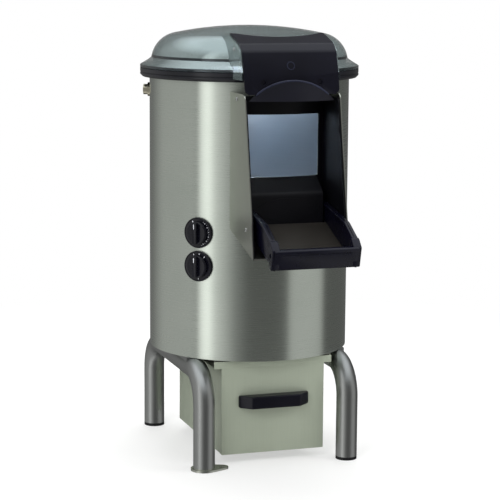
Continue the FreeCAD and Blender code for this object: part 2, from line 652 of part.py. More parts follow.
foot_slope = [side(chute_back, chute_foot), side(S.cheek_tip_reach, S.cheek_tip),
              side(S.cheek_tip_reach, S.cheek_tip + S.liner_wall), side(chute_back,
                  chute_foot + S.liner_wall)]
bottom = across("bottom_blank", foot_slope, -S.cheek_side, S.cheek_side)
piece(cut("chute_bottom_plate", bottom, drum_tool), "chute_bottom_plate")

liner_outline = [side(chute_back, chute_foot + S.liner_wall), side(chute_back, S.liner_top),
                 side(S.cheek_brow - S.liner_inset / 3, S.liner_top, S.cheek_round),
                 side(S.cheek_knee_reach - S.liner_inset, S.cheek_knee),
                 side(S.cheek_tip_reach - S.liner_inset, S.cheek_tip + S.liner_wall)]
liner_in = S.cheek_side - S.liner_wall
liner_sides = both("liner_side", lambda n, hand: across(n, liner_outline, *between(liner_in, S.cheek_side,
    hand)))
skin_ring = ring("skin_ring", S.drum_radius, S.drum_radius + S.liner_wall, S.cheek_back_foot, S.liner_top)
skin_area = block("skin_area", -S.cheek_side, S.cheek_side, 0, S.drum_radius * 2, S.cheek_back_foot,
                  S.liner_top)
skin = overlap("liner_skin", skin_ring, skin_area)
liner_window = block("liner_window", -S.window_side, S.window_side, 0, S.apron_reach, S.window_foot,
                     S.window_top)
apron = across("apron", [
    side(chute_back, S.apron_foot), side(chute_back, S.window_foot), side(S.drum_radius, S.window_foot),
    side(S.apron_reach, S.apron_brow, S.cheek_round), side(S.apron_reach, S.apron_foot)], -S.apron_side,
    S.apron_side)
boss_radius = (S.boss_half * S.boss_half + S.boss_height * S.boss_height / 4) / S.boss_height
boss = overlap("boss", place(rod("boss_over", boss_radius, S.boss_depth, "front"), 0, S.apron_reach,
                             S.boss_middle + S.boss_height / 2 - boss_radius),
               place(rod("boss_under", boss_radius, S.boss_depth, "front"), 0, S.apron_reach,
                     S.boss_middle - S.boss_height / 2 + boss_radius))
pin_tools = both("pin_tool", lambda n, hand: place(
    rod(n, S.pin_radius + S.running_gap, S.cheek_side - S.apron_side - S.liner_wall, "right"),
    between(S.apron_side + S.liner_wall, S.cheek_side, hand)[0], S.pivot_reach, S.pivot_height))
liner_blank = cut("liner_blank", join("liner_walls", skin, *liner_sides), liner_window)
piece(cut("chute_liner", join("liner_form", liner_blank, apron, boss), drum_tool, bottom, *pin_tools),
      "chute_liner")

screwHeads("cheek_screws", S.cheek_side + S.sheet_wall, [
    (S.cheek_screw_top_reach, S.cheek_screw_top), (S.cheek_screw_foot_reach, S.cheek_screw_foot)])

# Tray

floor_fall = (S.floor_start_height - S.bar_foot) / (S.bar_foot_reach - S.floor_start)


def onFloor(reach, above=0):
    return side(reach, S.floor_start_height - (reach - S.floor_start) * floor_fall + above)


lobe_round = S.lobe_radius - S.lobe_flat          # a short flat is left beside the rounds
rim_top = [side(S.tray_brow_reach, S.tray_brow), side(S.tray_shoulder_reach, S.tray_shoulder,
                                                      S.shoulder_round),
           side(S.tray_nose_reach, S.tray_nose, S.cheek_round)]
wall_outline = [side(S.pivot_reach - S.lobe_radius, S.pivot_height - S.lobe_radius, lobe_round),
                side(S.pivot_reach - S.lobe_radius, S.pivot_height + S.lobe_radius, lobe_round)] + rim_top + [
                side(S.tray_end_reach, S.tray_end - S.tray_wall), side(S.bar_foot_reach, S.bar_foot),
                onFloor(S.floor_start), side(S.pivot_reach + S.floor_wall, S.pivot_height - S.lobe_radius)]
tray_in = S.tray_side - S.tray_wall
tray_walls = both("tray_side", lambda n, hand: across(n, wall_outline, *between(tray_in, S.tray_side, hand)))
rim_outline = rim_top + [
    side(S.tray_end_reach, S.tray_end), side(S.tray_end_reach - S.rim_band, S.tray_end - S.floor_wall),
    side(S.tray_nose_reach - S.rim_band, S.tray_nose - S.tray_wall),
    side(S.tray_shoulder_reach - S.floor_wall, S.tray_shoulder - S.rim_band),
    side(S.tray_brow_reach, S.tray_brow - S.rim_band)]
rims = both("tray_rim", lambda n, hand: across(
    n, rim_outline, *between(tray_in, S.tray_side + S.rim_overhang, hand)))
floor_end = S.bar_foot_reach - S.bar_depth
bar = across("tray_bar", [
    side(S.bar_reach, S.bar_top, S.bar_round), side(S.bar_foot_reach, S.bar_foot, S.bar_round),
    onFloor(floor_end), onFloor(floor_end, S.ledge_lift + S.floor_wall),
    side(S.bar_reach - S.bar_depth, S.bar_top, S.bar_round)], -S.tray_side, S.tray_side)
ledges = both("tray_ledge", lambda n, hand: across(n, [
    onFloor(S.floor_start), onFloor(floor_end), onFloor(floor_end, S.ledge_lift),
    onFloor(S.floor_start, S.ledge_lift)], *between(tray_in - S.ledge_width, tray_in, hand)))


def floorSheet(name, start):
    """The tray's flat floor, from start to the front bar."""
    top = S.ledge_lift + S.floor_wall
    return across(name, [onFloor(start, S.ledge_lift), onFloor(floor_end, S.ledge_lift), onFloor(floor_end,
        top),
                         onFloor(start, top)], -tray_in, tray_in)


pins = both("tray_pin", lambda n, hand: place(
    rod(n, S.pin_radius, S.cheek_side - S.moving_gap - tray_in, "right"),
    between(tray_in, S.cheek_side - S.moving_gap, hand)[0], S.pivot_reach, S.pivot_height))
tray_blank = join("tray_blank", bar, *(tray_walls + rims + ledges + pins))
piece(cut("tray_frame", tray_blank, floorSheet("floor_room", S.floor_start - S.rim_band)), "tray_frame")
piece(floorSheet("tray_floor", S.floor_start), "tray_floor")

# Knobs and switches


def radialBox(name, width, depth, height, out, middle):
    """A box whose outer face stands square to the drum's radius at out, centred on the height middle."""
    item = doc.addObject("Part::Box", name)
    bind(item, "Length", width)
    bind(item, "Width", depth)
    bind(item, "Height", height)
    sin_a, cos_a = sine(S.knob_angle), cosine(S.knob_angle)
    left, front = sin_a * out + cos_a * width / 2, cos_a * out - sin_a * width / 2
    item.setExpression("Placement", "placement(vector(-1 * (%s); -1 * (%s); %s); rotation(vector(0; 0; 1); %s))" % (
        left.text, front.text, (middle - height / 2).text, (-S.knob_angle).text))
    return item


def control(label, height, dial_label, body_label):
    """A dial on the drum, a switch behind it and a knob whose spindle runs in the switch."""

    def along(name, radius, start, length):
        return radially(rod(label + name, radius, length), S.knob_angle, height, start)

    dial_face = S.drum_radius + S.dial_depth
    knob_start = dial_face + S.moving_gap
    case_front = chord(drum_bore, S.switch_side)
    case_back = case_front - S.switch_depth
    disc = along("_dial_disc", S.dial_radius, dial_face - S.dial_radius, S.dial_radius)
    hole = along("_dial_hole", spindle_room, case_back, S.switch_depth * 2)
    piece(cut(label + "_dial_cut", disc, drum_tool, hole), dial_label)
    case = radialBox(label + "_case", S.switch_side * 2, S.switch_depth, S.switch_side * 2, case_front,
                     height)
    neck_start = case_front - S.neck_length
    neck = along("_neck", S.neck_radius, neck_start, drum_bore - S.neck_gap - neck_start)
    bore = along("_bore", S.spindle_radius + S.running_gap, case_back + S.spindle_start, S.switch_depth * 2)
    piece(cut(label + "_switch", join(label + "_switch_blank", case, neck), bore), body_label)
    base = along("_base", S.knob_radius, knob_start, S.knob_depth)
    grip = radialBox(label + "_grip", S.grip_width, S.grip_depth, S.knob_radius * 2 - S.grip_width / 4,
                     knob_start + S.grip_depth, height)
    start = case_back + S.spindle_start + S.moving_gap
    spindle = along("_spindle", S.spindle_radius, start, knob_start + S.knob_depth / 2 - start)
    piece(join(label + "_form", base, grip, spindle), label)


control("timer_knob", S.timer_height, "timer_dial", "timer_body")
control("selector_knob", S.selector_height, "selector_dial", "selector_switch_body")

# Water, cable and drain

inlet_start = drum_bore - S.inlet_inside
way_length = S.drum_radius * 2                   # longer than any radial way that it cuts


def atInlet(name, radius, start, length):
    return radially(rod(name, radius, length), S.inlet_angle, S.inlet_height, start)


def atGland(name, radius, start, length):
    return radially(rod(name, radius, length), S.gland_angle, S.gland_height, start)


nut_face = S.drum_radius + S.nut_height
stem = atInlet("inlet_stem", S.inlet_stem, inlet_start, nut_face - inlet_start)
thread = atInlet("inlet_thread", S.inlet_radius, nut_face, S.inlet_reach - nut_face)
piece(cut("water_inlet", join("inlet_stub", stem, thread),
          atInlet("inlet_bore", S.inlet_stem - S.inlet_wall, 0, way_length)), "water_inlet")
nut = atInlet("inlet_nut_disc", S.nut_radius, inlet_start, nut_face - inlet_start)
piece(cut("inlet_nut", nut, atInlet("inlet_nut_bore", S.inlet_stem, 0, way_length), drum_tool), "inlet_nut")
piece(cut("spray_nozzle", atInlet("nozzle_body", S.nozzle_radius, inlet_start - S.nozzle_length,
                                  S.nozzle_length),
          atInlet("nozzle_way", S.nozzle_bore, 0, way_length)), "spray_nozzle")

gland_nut = atGland("gland_nut", S.gland_radius, S.drum_radius / 2, S.gland_reach - S.drum_radius / 2)
gland_tail = atGland("gland_tail", S.gland_tail_radius, drum_bore - S.gland_tail_length,
                     S.gland_tail_length + S.drum_wall * 2)
gland_way = atGland("gland_way", S.gland_bore, 0, way_length)
piece(cut("cable_gland", join("gland_blank", cut("gland_seat", gland_nut, drum_tool), gland_tail), gland_way),
      "cable_gland")


def atDrain(name, radius, foot, top):
    return place(rod(name, radius, asSize(top) - foot), 0, S.drain_reach, foot)


drain_inside = S.drain_radius - S.drain_wall
piece(cut("drain_pipe", atDrain("drain_tube", S.drain_radius, S.drain_foot, S.chamber_floor),
          atDrain("drain_way", drain_inside, 0, S.drum_top)), "drain_pipe")
floor_disc = place(rod("floor_disc", drum_bore, S.floor_plate), 0, 0, S.chamber_floor)
floor_middle = place(rod("floor_middle", S.bearing_radius, S.drum_top), 0, 0, 0)
piece(cut("chamber_floor", floor_disc, atDrain("floor_drain", drain_inside, 0, S.drum_top), floor_middle),
      "chamber_floor")

# Drive

seal_foot = S.chamber_floor - S.seal_width
lower_foot = S.housing_foot + S.housing_step
flange_under = S.chamber_floor - S.flange_plate
piece(turned("bearing_housing", [
    corner(S.bearing_radius, lower_foot), corner(S.bearing_radius - S.housing_lip, lower_foot),
    corner(S.bearing_radius - S.housing_lip, S.housing_foot), corner(S.housing_radius, S.housing_foot),
    corner(S.housing_radius, flange_under), corner(S.housing_flange, flange_under),
    corner(S.housing_flange, S.chamber_floor), corner(S.bearing_radius, S.chamber_floor)]), "bearing_housing")
for label, foot, height in (("lower_bearing", lower_foot, S.bearing_width),
                            ("upper_bearing", seal_foot - S.bearing_width, S.bearing_width),
                            ("shaft_seal", seal_foot, S.seal_width)):
    piece(ring(label, S.shaft_radius + S.running_gap, S.bearing_radius, foot, foot + height), label)

disc_top = S.disc_foot + S.disc_plate
grit_top = disc_top + S.grit_plate
shaft_top = disc_top + S.disc_nut_height / 2
piece(place(rod("drive_shaft", S.shaft_radius, shaft_top - S.shaft_foot), 0, 0, S.shaft_foot), "drive_shaft")
piece(ring("peeling_disc", S.shaft_radius, S.disc_radius, S.disc_foot, disc_top), "peeling_disc")
grit = ring("grit_layer", S.grit_bore, S.disc_radius - S.grit_plate, disc_top, grit_top)
waves = []
for i in range(3):
    wave = rod("wave_%d" % i, S.wave_radius, S.disc_radius - S.wave_start)
    wave.setExpression("Placement", "placement(vector(0; 0; 0); rotation(vector(0; 0; 1); %d)) * "
                       "placement(vector(%s; 0; %s); rotation(vector(0; 1; 0); 90))" % (
                           120 * i, S.wave_start.text, (grit_top + S.wave_height - S.wave_radius).text))
    waves.append(wave)
wave_slab = ring("wave_slab", S.grit_bore, S.disc_radius - S.grit_plate * 2, disc_top,
                 grit_top + S.wave_height)
piece(join("disc_abrasive", grit, overlap("wave_tops", join("wave_rods", *waves), wave_slab)),
      "disc_abrasive")
piece(join("disc_nut", ring("nut_ring", S.shaft_radius, S.disc_nut_radius, disc_top, shaft_top),
           place(rod("nut_cap", S.disc_nut_radius, S.disc_nut_height / 2), 0, 0, shaft_top)), "disc_nut")
paddle_foot = S.chamber_floor + S.floor_plate + S.paddle_gap
paddles = both("paddle", lambda n, hand: block(
    n, *between(S.paddle_hub, S.disc_radius - S.paddle_width, hand), -S.paddle_width / 2, S.paddle_width / 2,
    paddle_foot, S.disc_foot))
piece(group("sweeper_paddles", *paddles), "sweeper_paddles")

pulley_middle = S.pulley_foot + S.pulley_width / 2


def pulley(label, radius, shaft, reach):
    """A flat pulley on its shaft, with a flange on each side of the belt."""
    half, flange = S.belt_width / 2, radius + S.pulley_flange
    body = turned(label, [
        corner(shaft, S.pulley_foot), corner(flange, S.pulley_foot), corner(flange, pulley_middle - half),
        corner(radius, pulley_middle - half), corner(radius, pulley_middle + half),
        corner(flange, pulley_middle + half), corner(flange, S.pulley_foot + S.pulley_width),
        corner(shaft, S.pulley_foot + S.pulley_width)])
    return piece(place(body, 0, reach, 0), label)


pulley("main_pulley", S.pulley_radius, S.shaft_radius, 0)
pulley("motor_pulley", S.motor_pulley_radius, S.motor_shaft_radius, -S.motor_back)
motor_shaft_foot = S.pulley_foot - S.shaft_end
motor_room_top = S.motor_top - S.motor_cap
piece(place(rod("motor_shaft", S.motor_shaft_radius, motor_room_top - S.shaft_end - motor_shaft_foot), 0,
            -S.motor_back,
            motor_shaft_foot), "motor_shaft")
motor_foot = S.bracket_foot + S.bracket_plate
motor_room = S.motor_shaft_radius + S.running_gap
motor_neck = S.motor_radius - S.motor_step
piece(place(turned("motor_case", [
    corner(motor_room, motor_foot), corner(motor_neck, motor_foot), corner(motor_neck,
        motor_foot + S.motor_cap),
    corner(S.motor_radius, motor_foot + S.motor_cap), corner(S.motor_radius, S.motor_top - S.motor_cap),
    corner(motor_neck, S.motor_top), corner(0, S.motor_top), corner(0, motor_room_top),
    corner(motor_room, motor_room_top)]), 0, -S.motor_back, 0), "motor_body")

sheet_side = S.bracket_side + S.motor_step
post_reach = S.bracket_side - S.post_radius * 2
bracket = block("bracket_sheet", -sheet_side, sheet_side, -S.motor_back - S.bracket_side,
                -S.motor_back + post_reach +
                S.post_radius, S.bracket_foot, motor_foot)
bracket_hole = place(rod("bracket_hole", S.motor_pulley_radius + S.post_radius, S.drill_length), 0,
                     -S.motor_back,
                     S.bracket_foot - S.drill_length / 2)
drum_inside = place(rod("drum_inside", drum_bore, S.drum_top), 0, 0, deck)
posts = [place(rod("post_%d_%d" % (hand + 1, end + 1), S.post_radius, S.chamber_floor - S.bracket_foot),
               S.bracket_side * hand, post_reach * end - S.motor_back, S.bracket_foot)
         for hand in (-1, 1) for end in (-1, 1)]
piece(overlap("motor_bracket", join("bracket_frame", cut("bracket_holed", bracket, bracket_hole), *posts),
              drum_inside),
      "motor_bracket")


def beltLoop(name, grow):
    """The outline round both pulleys, grown outwards, between their flanges."""
    main, small, d = S.pulley_radius + grow, S.motor_pulley_radius + grow, S.motor_back
    slope = (main - small) / d
    level = root(1 - slope * slope)
    height = S.belt_width - S.belt_gap * 2
    return padded(name, "XY_Plane", [
        corner(main * level, main * slope, bow=main), corner(0, -main, bow=main),
        corner(-(main * level), main * slope), corner(-(small * level), d + small * slope, bow=small),
        corner(small * level, d + small * slope)], pulley_middle - height / 2, height)


piece(cut("drive_belt", beltLoop("belt_outside", S.belt_gap + S.belt_thickness), beltLoop("belt_inside",
    S.belt_gap)),
      "drive_belt")

box_foot = deck + S.base_plate
piece(block("terminal_box", S.box_left, S.box_right, -S.box_back, S.box_front, box_foot,
            box_foot + S.box_height),
      "terminal_box")

# Filter drawer

rail_in = S.drawer_side - S.box_inset + S.moving_gap
rail_out = rail_in + S.slide_width + S.moving_gap + S.rail_wall
flange_foot = S.ear_foot + S.flange_lift


def rail(name, hand):
    """A C-shaped channel under the base plate that carries the drawer's flange."""
    top, foot, w = deck, flange_foot - S.moving_gap, S.rail_wall
    lip = rail_in + S.box_inset
    points = [(rail_in, top), (rail_out, top), (rail_out, foot - w), (lip, foot - w),
              (lip, foot), (rail_out - w, foot), (rail_out - w, top - w), (rail_in, top - w)]
    return padded(name, "XZ_Plane", [corner(x * hand, z) for x, z in points], -S.drawer_back,
                  S.drawer_reach - S.sheet_wall - S.moving_gap + S.drawer_back)


piece(group("drawer_rails", *both("rail", rail)), "drawer_rails")
box_side = S.drawer_side - S.box_inset
box_front = S.drawer_reach - S.sheet_wall
flange_top = flange_foot + S.drawer_wall
box_out = block("box_outside", -box_side, box_side, -S.drawer_back, box_front, S.drawer_foot, flange_top)
wall = S.drawer_wall
box_in = block("box_inside", -box_side + wall, box_side - wall, -S.drawer_back + wall, box_front - wall,
               S.drawer_foot + wall, S.drawer_top)
flanges = both("flange", lambda n, hand: block(
    n, *between(box_side, box_side + S.slide_width, hand), -S.drawer_back, box_front, flange_foot,
    flange_top))
outlet_inside = S.outlet_radius - S.outlet_wall
outlet_hole = place(rod("outlet_hole", outlet_inside, S.drill_length, "front"), 0,
                    -S.drawer_back - S.drill_length / 2, S.outlet_height)
piece(cut("drawer_box", join("box_blank", box_out, *flanges), box_in, outlet_hole), "drawer_box")
piece(padded("drawer_front", "XZ_Plane", [
    corner(-S.drawer_side, S.drawer_foot), corner(S.drawer_side, S.drawer_foot), corner(S.drawer_side,
        S.ear_foot),
    corner(S.ear_side, S.ear_foot), corner(S.ear_side, S.ear_top), corner(-S.ear_side, S.ear_top),
    corner(-S.ear_side, S.ear_foot), corner(-S.drawer_side, S.ear_foot)], box_front, S.sheet_wall),
    "drawer_front")


def handleOutline(inset):
    return [corner(-S.handle_side + inset, -S.drawer_reach), corner(S.handle_side - inset, -S.drawer_reach),
            corner(S.handle_front_side - inset / 2, -S.handle_reach + inset),
            corner(-S.handle_front_side + inset / 2, -S.handle_reach + inset)]


handle_height = S.handle_top - S.handle_foot
handle_out = padded("handle_outside", "XY_Plane", handleOutline(asSize(0)), S.handle_foot, handle_height)
handle_in = padded("handle_inside", "XY_Plane", handleOutline(S.handle_wall), S.handle_foot - S.handle_wall,
                   handle_height)
piece(cut("drawer_handle", handle_out, handle_in), "drawer_handle")

basket_side = box_side - wall - S.basket_gap
basket_front, basket_back = box_front - wall - S.basket_gap, -S.drawer_back + wall + S.basket_gap
basket_top, basket_foot = flange_top + S.basket_wall, S.drawer_foot + S.basket_lift
basket_out = block("basket_outside", -basket_side, basket_side, basket_back, basket_front, basket_foot,
                   basket_top)
w = S.basket_wall
basket_in = block("basket_inside", -basket_side + w, basket_side - w, basket_back + w, basket_front - w,
                  basket_foot + w, S.ear_top)
lips = block("basket_lips", -box_side, box_side, -S.drawer_back, box_front, flange_top, basket_top)
slots = []
for i in range(6):
    back = S.slot_start + S.slot_pitch * i
    slots.append(block("basket_slot_%d" % i, -basket_side + S.slot_margin, basket_side - S.slot_margin, back,
                       back + S.slot_width, S.drawer_foot, basket_foot + S.basket_lift))
piece(cut("filter_basket", join("basket_blank", basket_out, lips), basket_in, *slots), "filter_basket")
outlet_end = -S.drawer_back - S.outlet_length
outlet, outlet_bore = [place(rod(name, radius, S.outlet_length, "front"), 0, outlet_end, S.outlet_height)
                       for name, radius in (("outlet_tube", S.outlet_radius), ("outlet_bore", outlet_inside))]
piece(cut("drain_outlet", outlet, outlet_bore), "drain_outlet")

doc.recompute()
faults = [item.Name for item in doc.Objects if "Invalid" in item.State or "Error" in item.State]
for item in pieces:
    if item.Shape.isNull() or not item.Shape.isValid() or not item.Shape.Solids:
        faults.append(item.Label)
if faults:
    raise SystemExit("these objects failed: " + ", ".join(faults))

os.makedirs("parts", exist_ok=True)
for item in pieces:
    item.Shape.exportStep("parts/%s.step" % item.Label)
print("wrote %d sub-parts" % len(pieces))
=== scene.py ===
import bpy
import json
import math
from mathutils import Vector, Matrix


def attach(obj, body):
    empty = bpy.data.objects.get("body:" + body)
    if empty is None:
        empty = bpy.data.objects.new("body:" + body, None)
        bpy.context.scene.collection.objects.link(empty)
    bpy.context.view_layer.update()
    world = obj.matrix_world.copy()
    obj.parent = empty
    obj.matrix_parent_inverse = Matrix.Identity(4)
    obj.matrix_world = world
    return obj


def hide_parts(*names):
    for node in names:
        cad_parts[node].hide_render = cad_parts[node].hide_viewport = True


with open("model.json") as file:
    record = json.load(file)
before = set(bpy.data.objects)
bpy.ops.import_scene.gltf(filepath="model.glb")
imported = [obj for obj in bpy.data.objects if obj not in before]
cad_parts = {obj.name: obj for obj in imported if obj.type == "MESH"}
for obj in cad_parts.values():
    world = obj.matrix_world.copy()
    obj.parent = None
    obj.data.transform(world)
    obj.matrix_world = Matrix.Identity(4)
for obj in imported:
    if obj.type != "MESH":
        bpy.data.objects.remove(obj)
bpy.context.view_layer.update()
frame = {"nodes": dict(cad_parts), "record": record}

mm = 0.001
nodes = frame["nodes"]

# Camera: the photograph's own viewpoint, in metres and degrees, with the lens in millimetres
cameraSetup = {"place": (-1.1155, -3.3878, 0.9666), "lens": 127.5, "sensor": 36,
               "yaw": -18.286, "tilt": 80.965, "roll": 0.393}

cameraData = bpy.data.cameras.new("studioCamera")
cameraData.lens = cameraSetup["lens"]
cameraData.sensor_width = cameraSetup["sensor"]
cameraObject = bpy.data.objects.new("studioCamera", cameraData)
bpy.context.scene.collection.objects.link(cameraObject)
turnYaw = Matrix.Rotation(math.radians(cameraSetup["yaw"]), 4, "Z")
turnTilt = Matrix.Rotation(math.radians(cameraSetup["tilt"]), 4, "X")
turnRoll = Matrix.Rotation(math.radians(cameraSetup["roll"]), 4, "Z")
cameraObject.matrix_world = Matrix.Translation(Vector(cameraSetup["place"])) @ turnYaw @ turnTilt @ turnRoll
bpy.context.scene.camera = cameraObject
bpy.context.scene.view_settings.view_transform = "Standard"
print("camera placed")


# Colours and node helpers

def srgb(hexText):
    parts = [int(hexText[i:i + 2], 16) / 255 for i in (1, 3, 5)]
    return [p / 12.92 if p <= 0.04045 else ((p + 0.055) / 1.055) ** 2.4 for p in parts] + [1.0]


def addNode(tree, kind, settings=None, links=None):
    node = tree.nodes.new(kind)
    for key, value in (settings or {}).items():
        if isinstance(key, int) or key in node.inputs:
            node.inputs[key].default_value = value
        else:
            setattr(node, key, value)
    for key, socket in (links or {}).items():
        tree.links.new(socket, node.inputs[key])
    return node


def newMaterial(name):
    material = bpy.data.materials.new(name)
    material.use_nodes = True
    material.node_tree.nodes.clear()
    return material, material.node_tree


def closeMaterial(tree, shader):
    addNode(tree, "ShaderNodeOutputMaterial", links={"Surface": shader})


def shadesFrom(tree, factor, stops):
    ramp = addNode(tree, "ShaderNodeValToRGB", links={"Fac": factor})
    shades = ramp.color_ramp.elements
    shades.remove(shades[1])
    shades[0].position, shades[0].color = stops[0]
    for position, colour in stops[1:]:
        shades.new(position).color = colour
    return ramp.outputs["Color"]


def levelsFrom(tree, factor, low, high):
    return addNode(tree, "ShaderNodeMapRange", {"To Min": low, "To Max": high},
                   {"Value": factor}).outputs["Result"]


def bumpFrom(tree, factor, strength, depth):
    return addNode(tree, "ShaderNodeBump", {"Strength": strength, "Distance": depth * mm},
                   {"Height": factor}).outputs[0]


# World: a plain studio. The eye and clear rays see white, glossy rays see pale and dark bands
# by bearing with a bright ceiling above, and all other rays see an even soft light.

studio = {
    "ambient": 0.62,
    # bearing from the photographed side of the machine in degrees, and the room's brightness there
    "bands": [(-180, 0.13), (-146, 0.20), (-118, 0.46), (-66, 0.50), (-61, 0.20), (-57, 1.3), (-47, 1.6),
              (-39, 0.80), (-26, 0.54), (-14, 0.26), (0, 0.14), (46, 0.14), (51, 0.55), (94, 0.57),
              (101, 0.13), (175, 0.12)],
    "facing": 18.2,
    "ceiling": (1.25, 1.3, 1.34, 1),
    "ceilingFrom": 0.5,
    "ceilingFull": 0.8,
}


def buildWorld():
    world = bpy.data.worlds.new("studioWorld")
    bpy.context.scene.world = world
    world.use_nodes = True
    tree = world.node_tree
    tree.nodes.clear()
    spot = addNode(tree, "ShaderNodeTexCoord").outputs["Generated"]
    axes = addNode(tree, "ShaderNodeSeparateXYZ", links={0: spot})
    back = addNode(tree, "ShaderNodeMath", {"operation": "MULTIPLY", 1: -1.0}, {0: axes.outputs["Y"]})
    turn = addNode(tree, "ShaderNodeMath", {"operation": "ARCTAN2"},
                   {0: axes.outputs["X"], 1: back.outputs[0]})
    shift = math.radians(studio["facing"])
    level = addNode(tree, "ShaderNodeMath", {"operation": "ADD", 1: shift + math.pi}, {0: turn.outputs[0]})
    share = addNode(tree, "ShaderNodeMath", {"operation": "DIVIDE", 1: 2 * math.pi}, {0: level.outputs[0]})
    wrap = addNode(tree, "ShaderNodeMath", {"operation": "FRACT"}, {0: share.outputs[0]})
    stops = [((turnTo + 180) / 360, (v, v, v * 0.985, 1)) for turnTo, v in studio["bands"]]
    room = shadesFrom(tree, wrap.outputs[0], stops)
    rise = {"From Min": studio["ceilingFrom"], "From Max": studio["ceilingFull"]}
    above = addNode(tree, "ShaderNodeMapRange", rise, {"Value": axes.outputs["Z"]})
    roomTop = addNode(tree, "ShaderNodeMixRGB", {"Color2": studio["ceiling"]},
                      {"Fac": above.outputs["Result"], "Color1": room})
    seen = addNode(tree, "ShaderNodeBackground", {"Color": (1, 1, 1, 1), "Strength": 1.0})
    soft = addNode(tree, "ShaderNodeBackground", {"Color": (0.97, 0.98, 1, 1), "Strength": studio["ambient"]})
    gloss = addNode(tree, "ShaderNodeBackground", {"Strength": 1.0}, {"Color": roomTop.outputs[0]})
    path = addNode(tree, "ShaderNodeLightPath")
    first = addNode(tree, "ShaderNodeMixShader", links={0: path.outputs["Is Glossy Ray"], 1: soft.outputs[0],
                                                        2: gloss.outputs[0]})
    clear = addNode(tree, "ShaderNodeMath", {"operation": "MAXIMUM"},
                    {0: path.outputs["Is Camera Ray"], 1: path.outputs["Is Transmission Ray"]})
    last = addNode(tree, "ShaderNodeMixShader",
                   links={0: clear.outputs[0], 1: first.outputs[0], 2: seen.outputs[0]})
    addNode(tree, "ShaderNodeOutputWorld", links={"Surface": last.outputs[0]})


# lamps in metres and watts; each aims at the middle of the machine unless it says otherwise
lampSet = {
    "keyLamp": {"place": (-2.4, -2.6, 2.6), "size": 1.6, "power": 70},
    "sideLamp": {"place": (2.6, -1.6, 1.8), "size": 1.4, "power": 34},
    "topLamp": {"place": (0.2, 0.4, 3.2), "size": 2.0, "power": 60},
    "backLamp": {"place": (0.8, 2.8, 2.0), "size": 1.6, "power": 30},
    "chamberLamp": {"place": (0.0, -0.02, 0.80), "size": 0.10, "power": 1.4, "aim": (0.02, 0.2, 0.6)},
}


def buildLamps():
    for name, facts in lampSet.items():
        data = bpy.data.lights.new(name, "AREA")
        data.size = facts["size"]
        data.energy = facts["power"]
        lamp = bpy.data.objects.new(name, data)
        bpy.context.scene.collection.objects.link(lamp)
        place = Vector(facts["place"])
        aim = (Vector(facts.get("aim", (0, 0, 0.5))) - place).to_track_quat("-Z", "Y")
        lamp.matrix_world = Matrix.Translation(place) @ aim.to_matrix().to_4x4()
        lamp.visible_glossy = name == "chamberLamp"
        lamp.visible_camera = lamp.visible_transmission = False


def buildFloor():
    bpy.ops.mesh.primitive_circle_add(vertices=64, radius=12, fill_type="NGON", location=(0, 0, 0))
    floor = bpy.context.active_object
    floor.name = "studioFloor"
    material, tree = newMaterial("paleStudioFloor")
    place = addNode(tree, "ShaderNodeNewGeometry").outputs["Position"]
    away = addNode(tree, "ShaderNodeVectorMath", {"operation": "LENGTH"}, {0: place})
    far = addNode(tree, "ShaderNodeMapRange", {"From Min": 0.5, "From Max": 1.6, "To Min": 0.5},
                  {"Value": away.outputs["Value"]})
    path = addNode(tree, "ShaderNodeLightPath")
    diffuse = addNode(tree, "ShaderNodeBsdfDiffuse", {"Color": srgb("#f4f4f2")})
    glow = addNode(tree, "ShaderNodeEmission", {"Color": (1, 1, 1, 1), "Strength": 1.0})
    seen = addNode(tree, "ShaderNodeMath", {"operation": "MAXIMUM"},
                   {0: path.outputs["Is Camera Ray"], 1: path.outputs["Is Transmission Ray"]})
    share = addNode(tree, "ShaderNodeMath", {"operation": "MULTIPLY"},
                    {0: seen.outputs[0], 1: far.outputs["Result"]})
    lit = addNode(tree, "ShaderNodeMixShader",
                  links={0: share.outputs[0], 1: diffuse.outputs[0], 2: glow.outputs[0]})
    closeMaterial(tree, lit.outputs[0])
    floor.data.materials.append(material)
    floor.visible_glossy = False


buildWorld()
buildLamps()
buildFloor()
print("studio built")


# Materials

scratchLength = 90


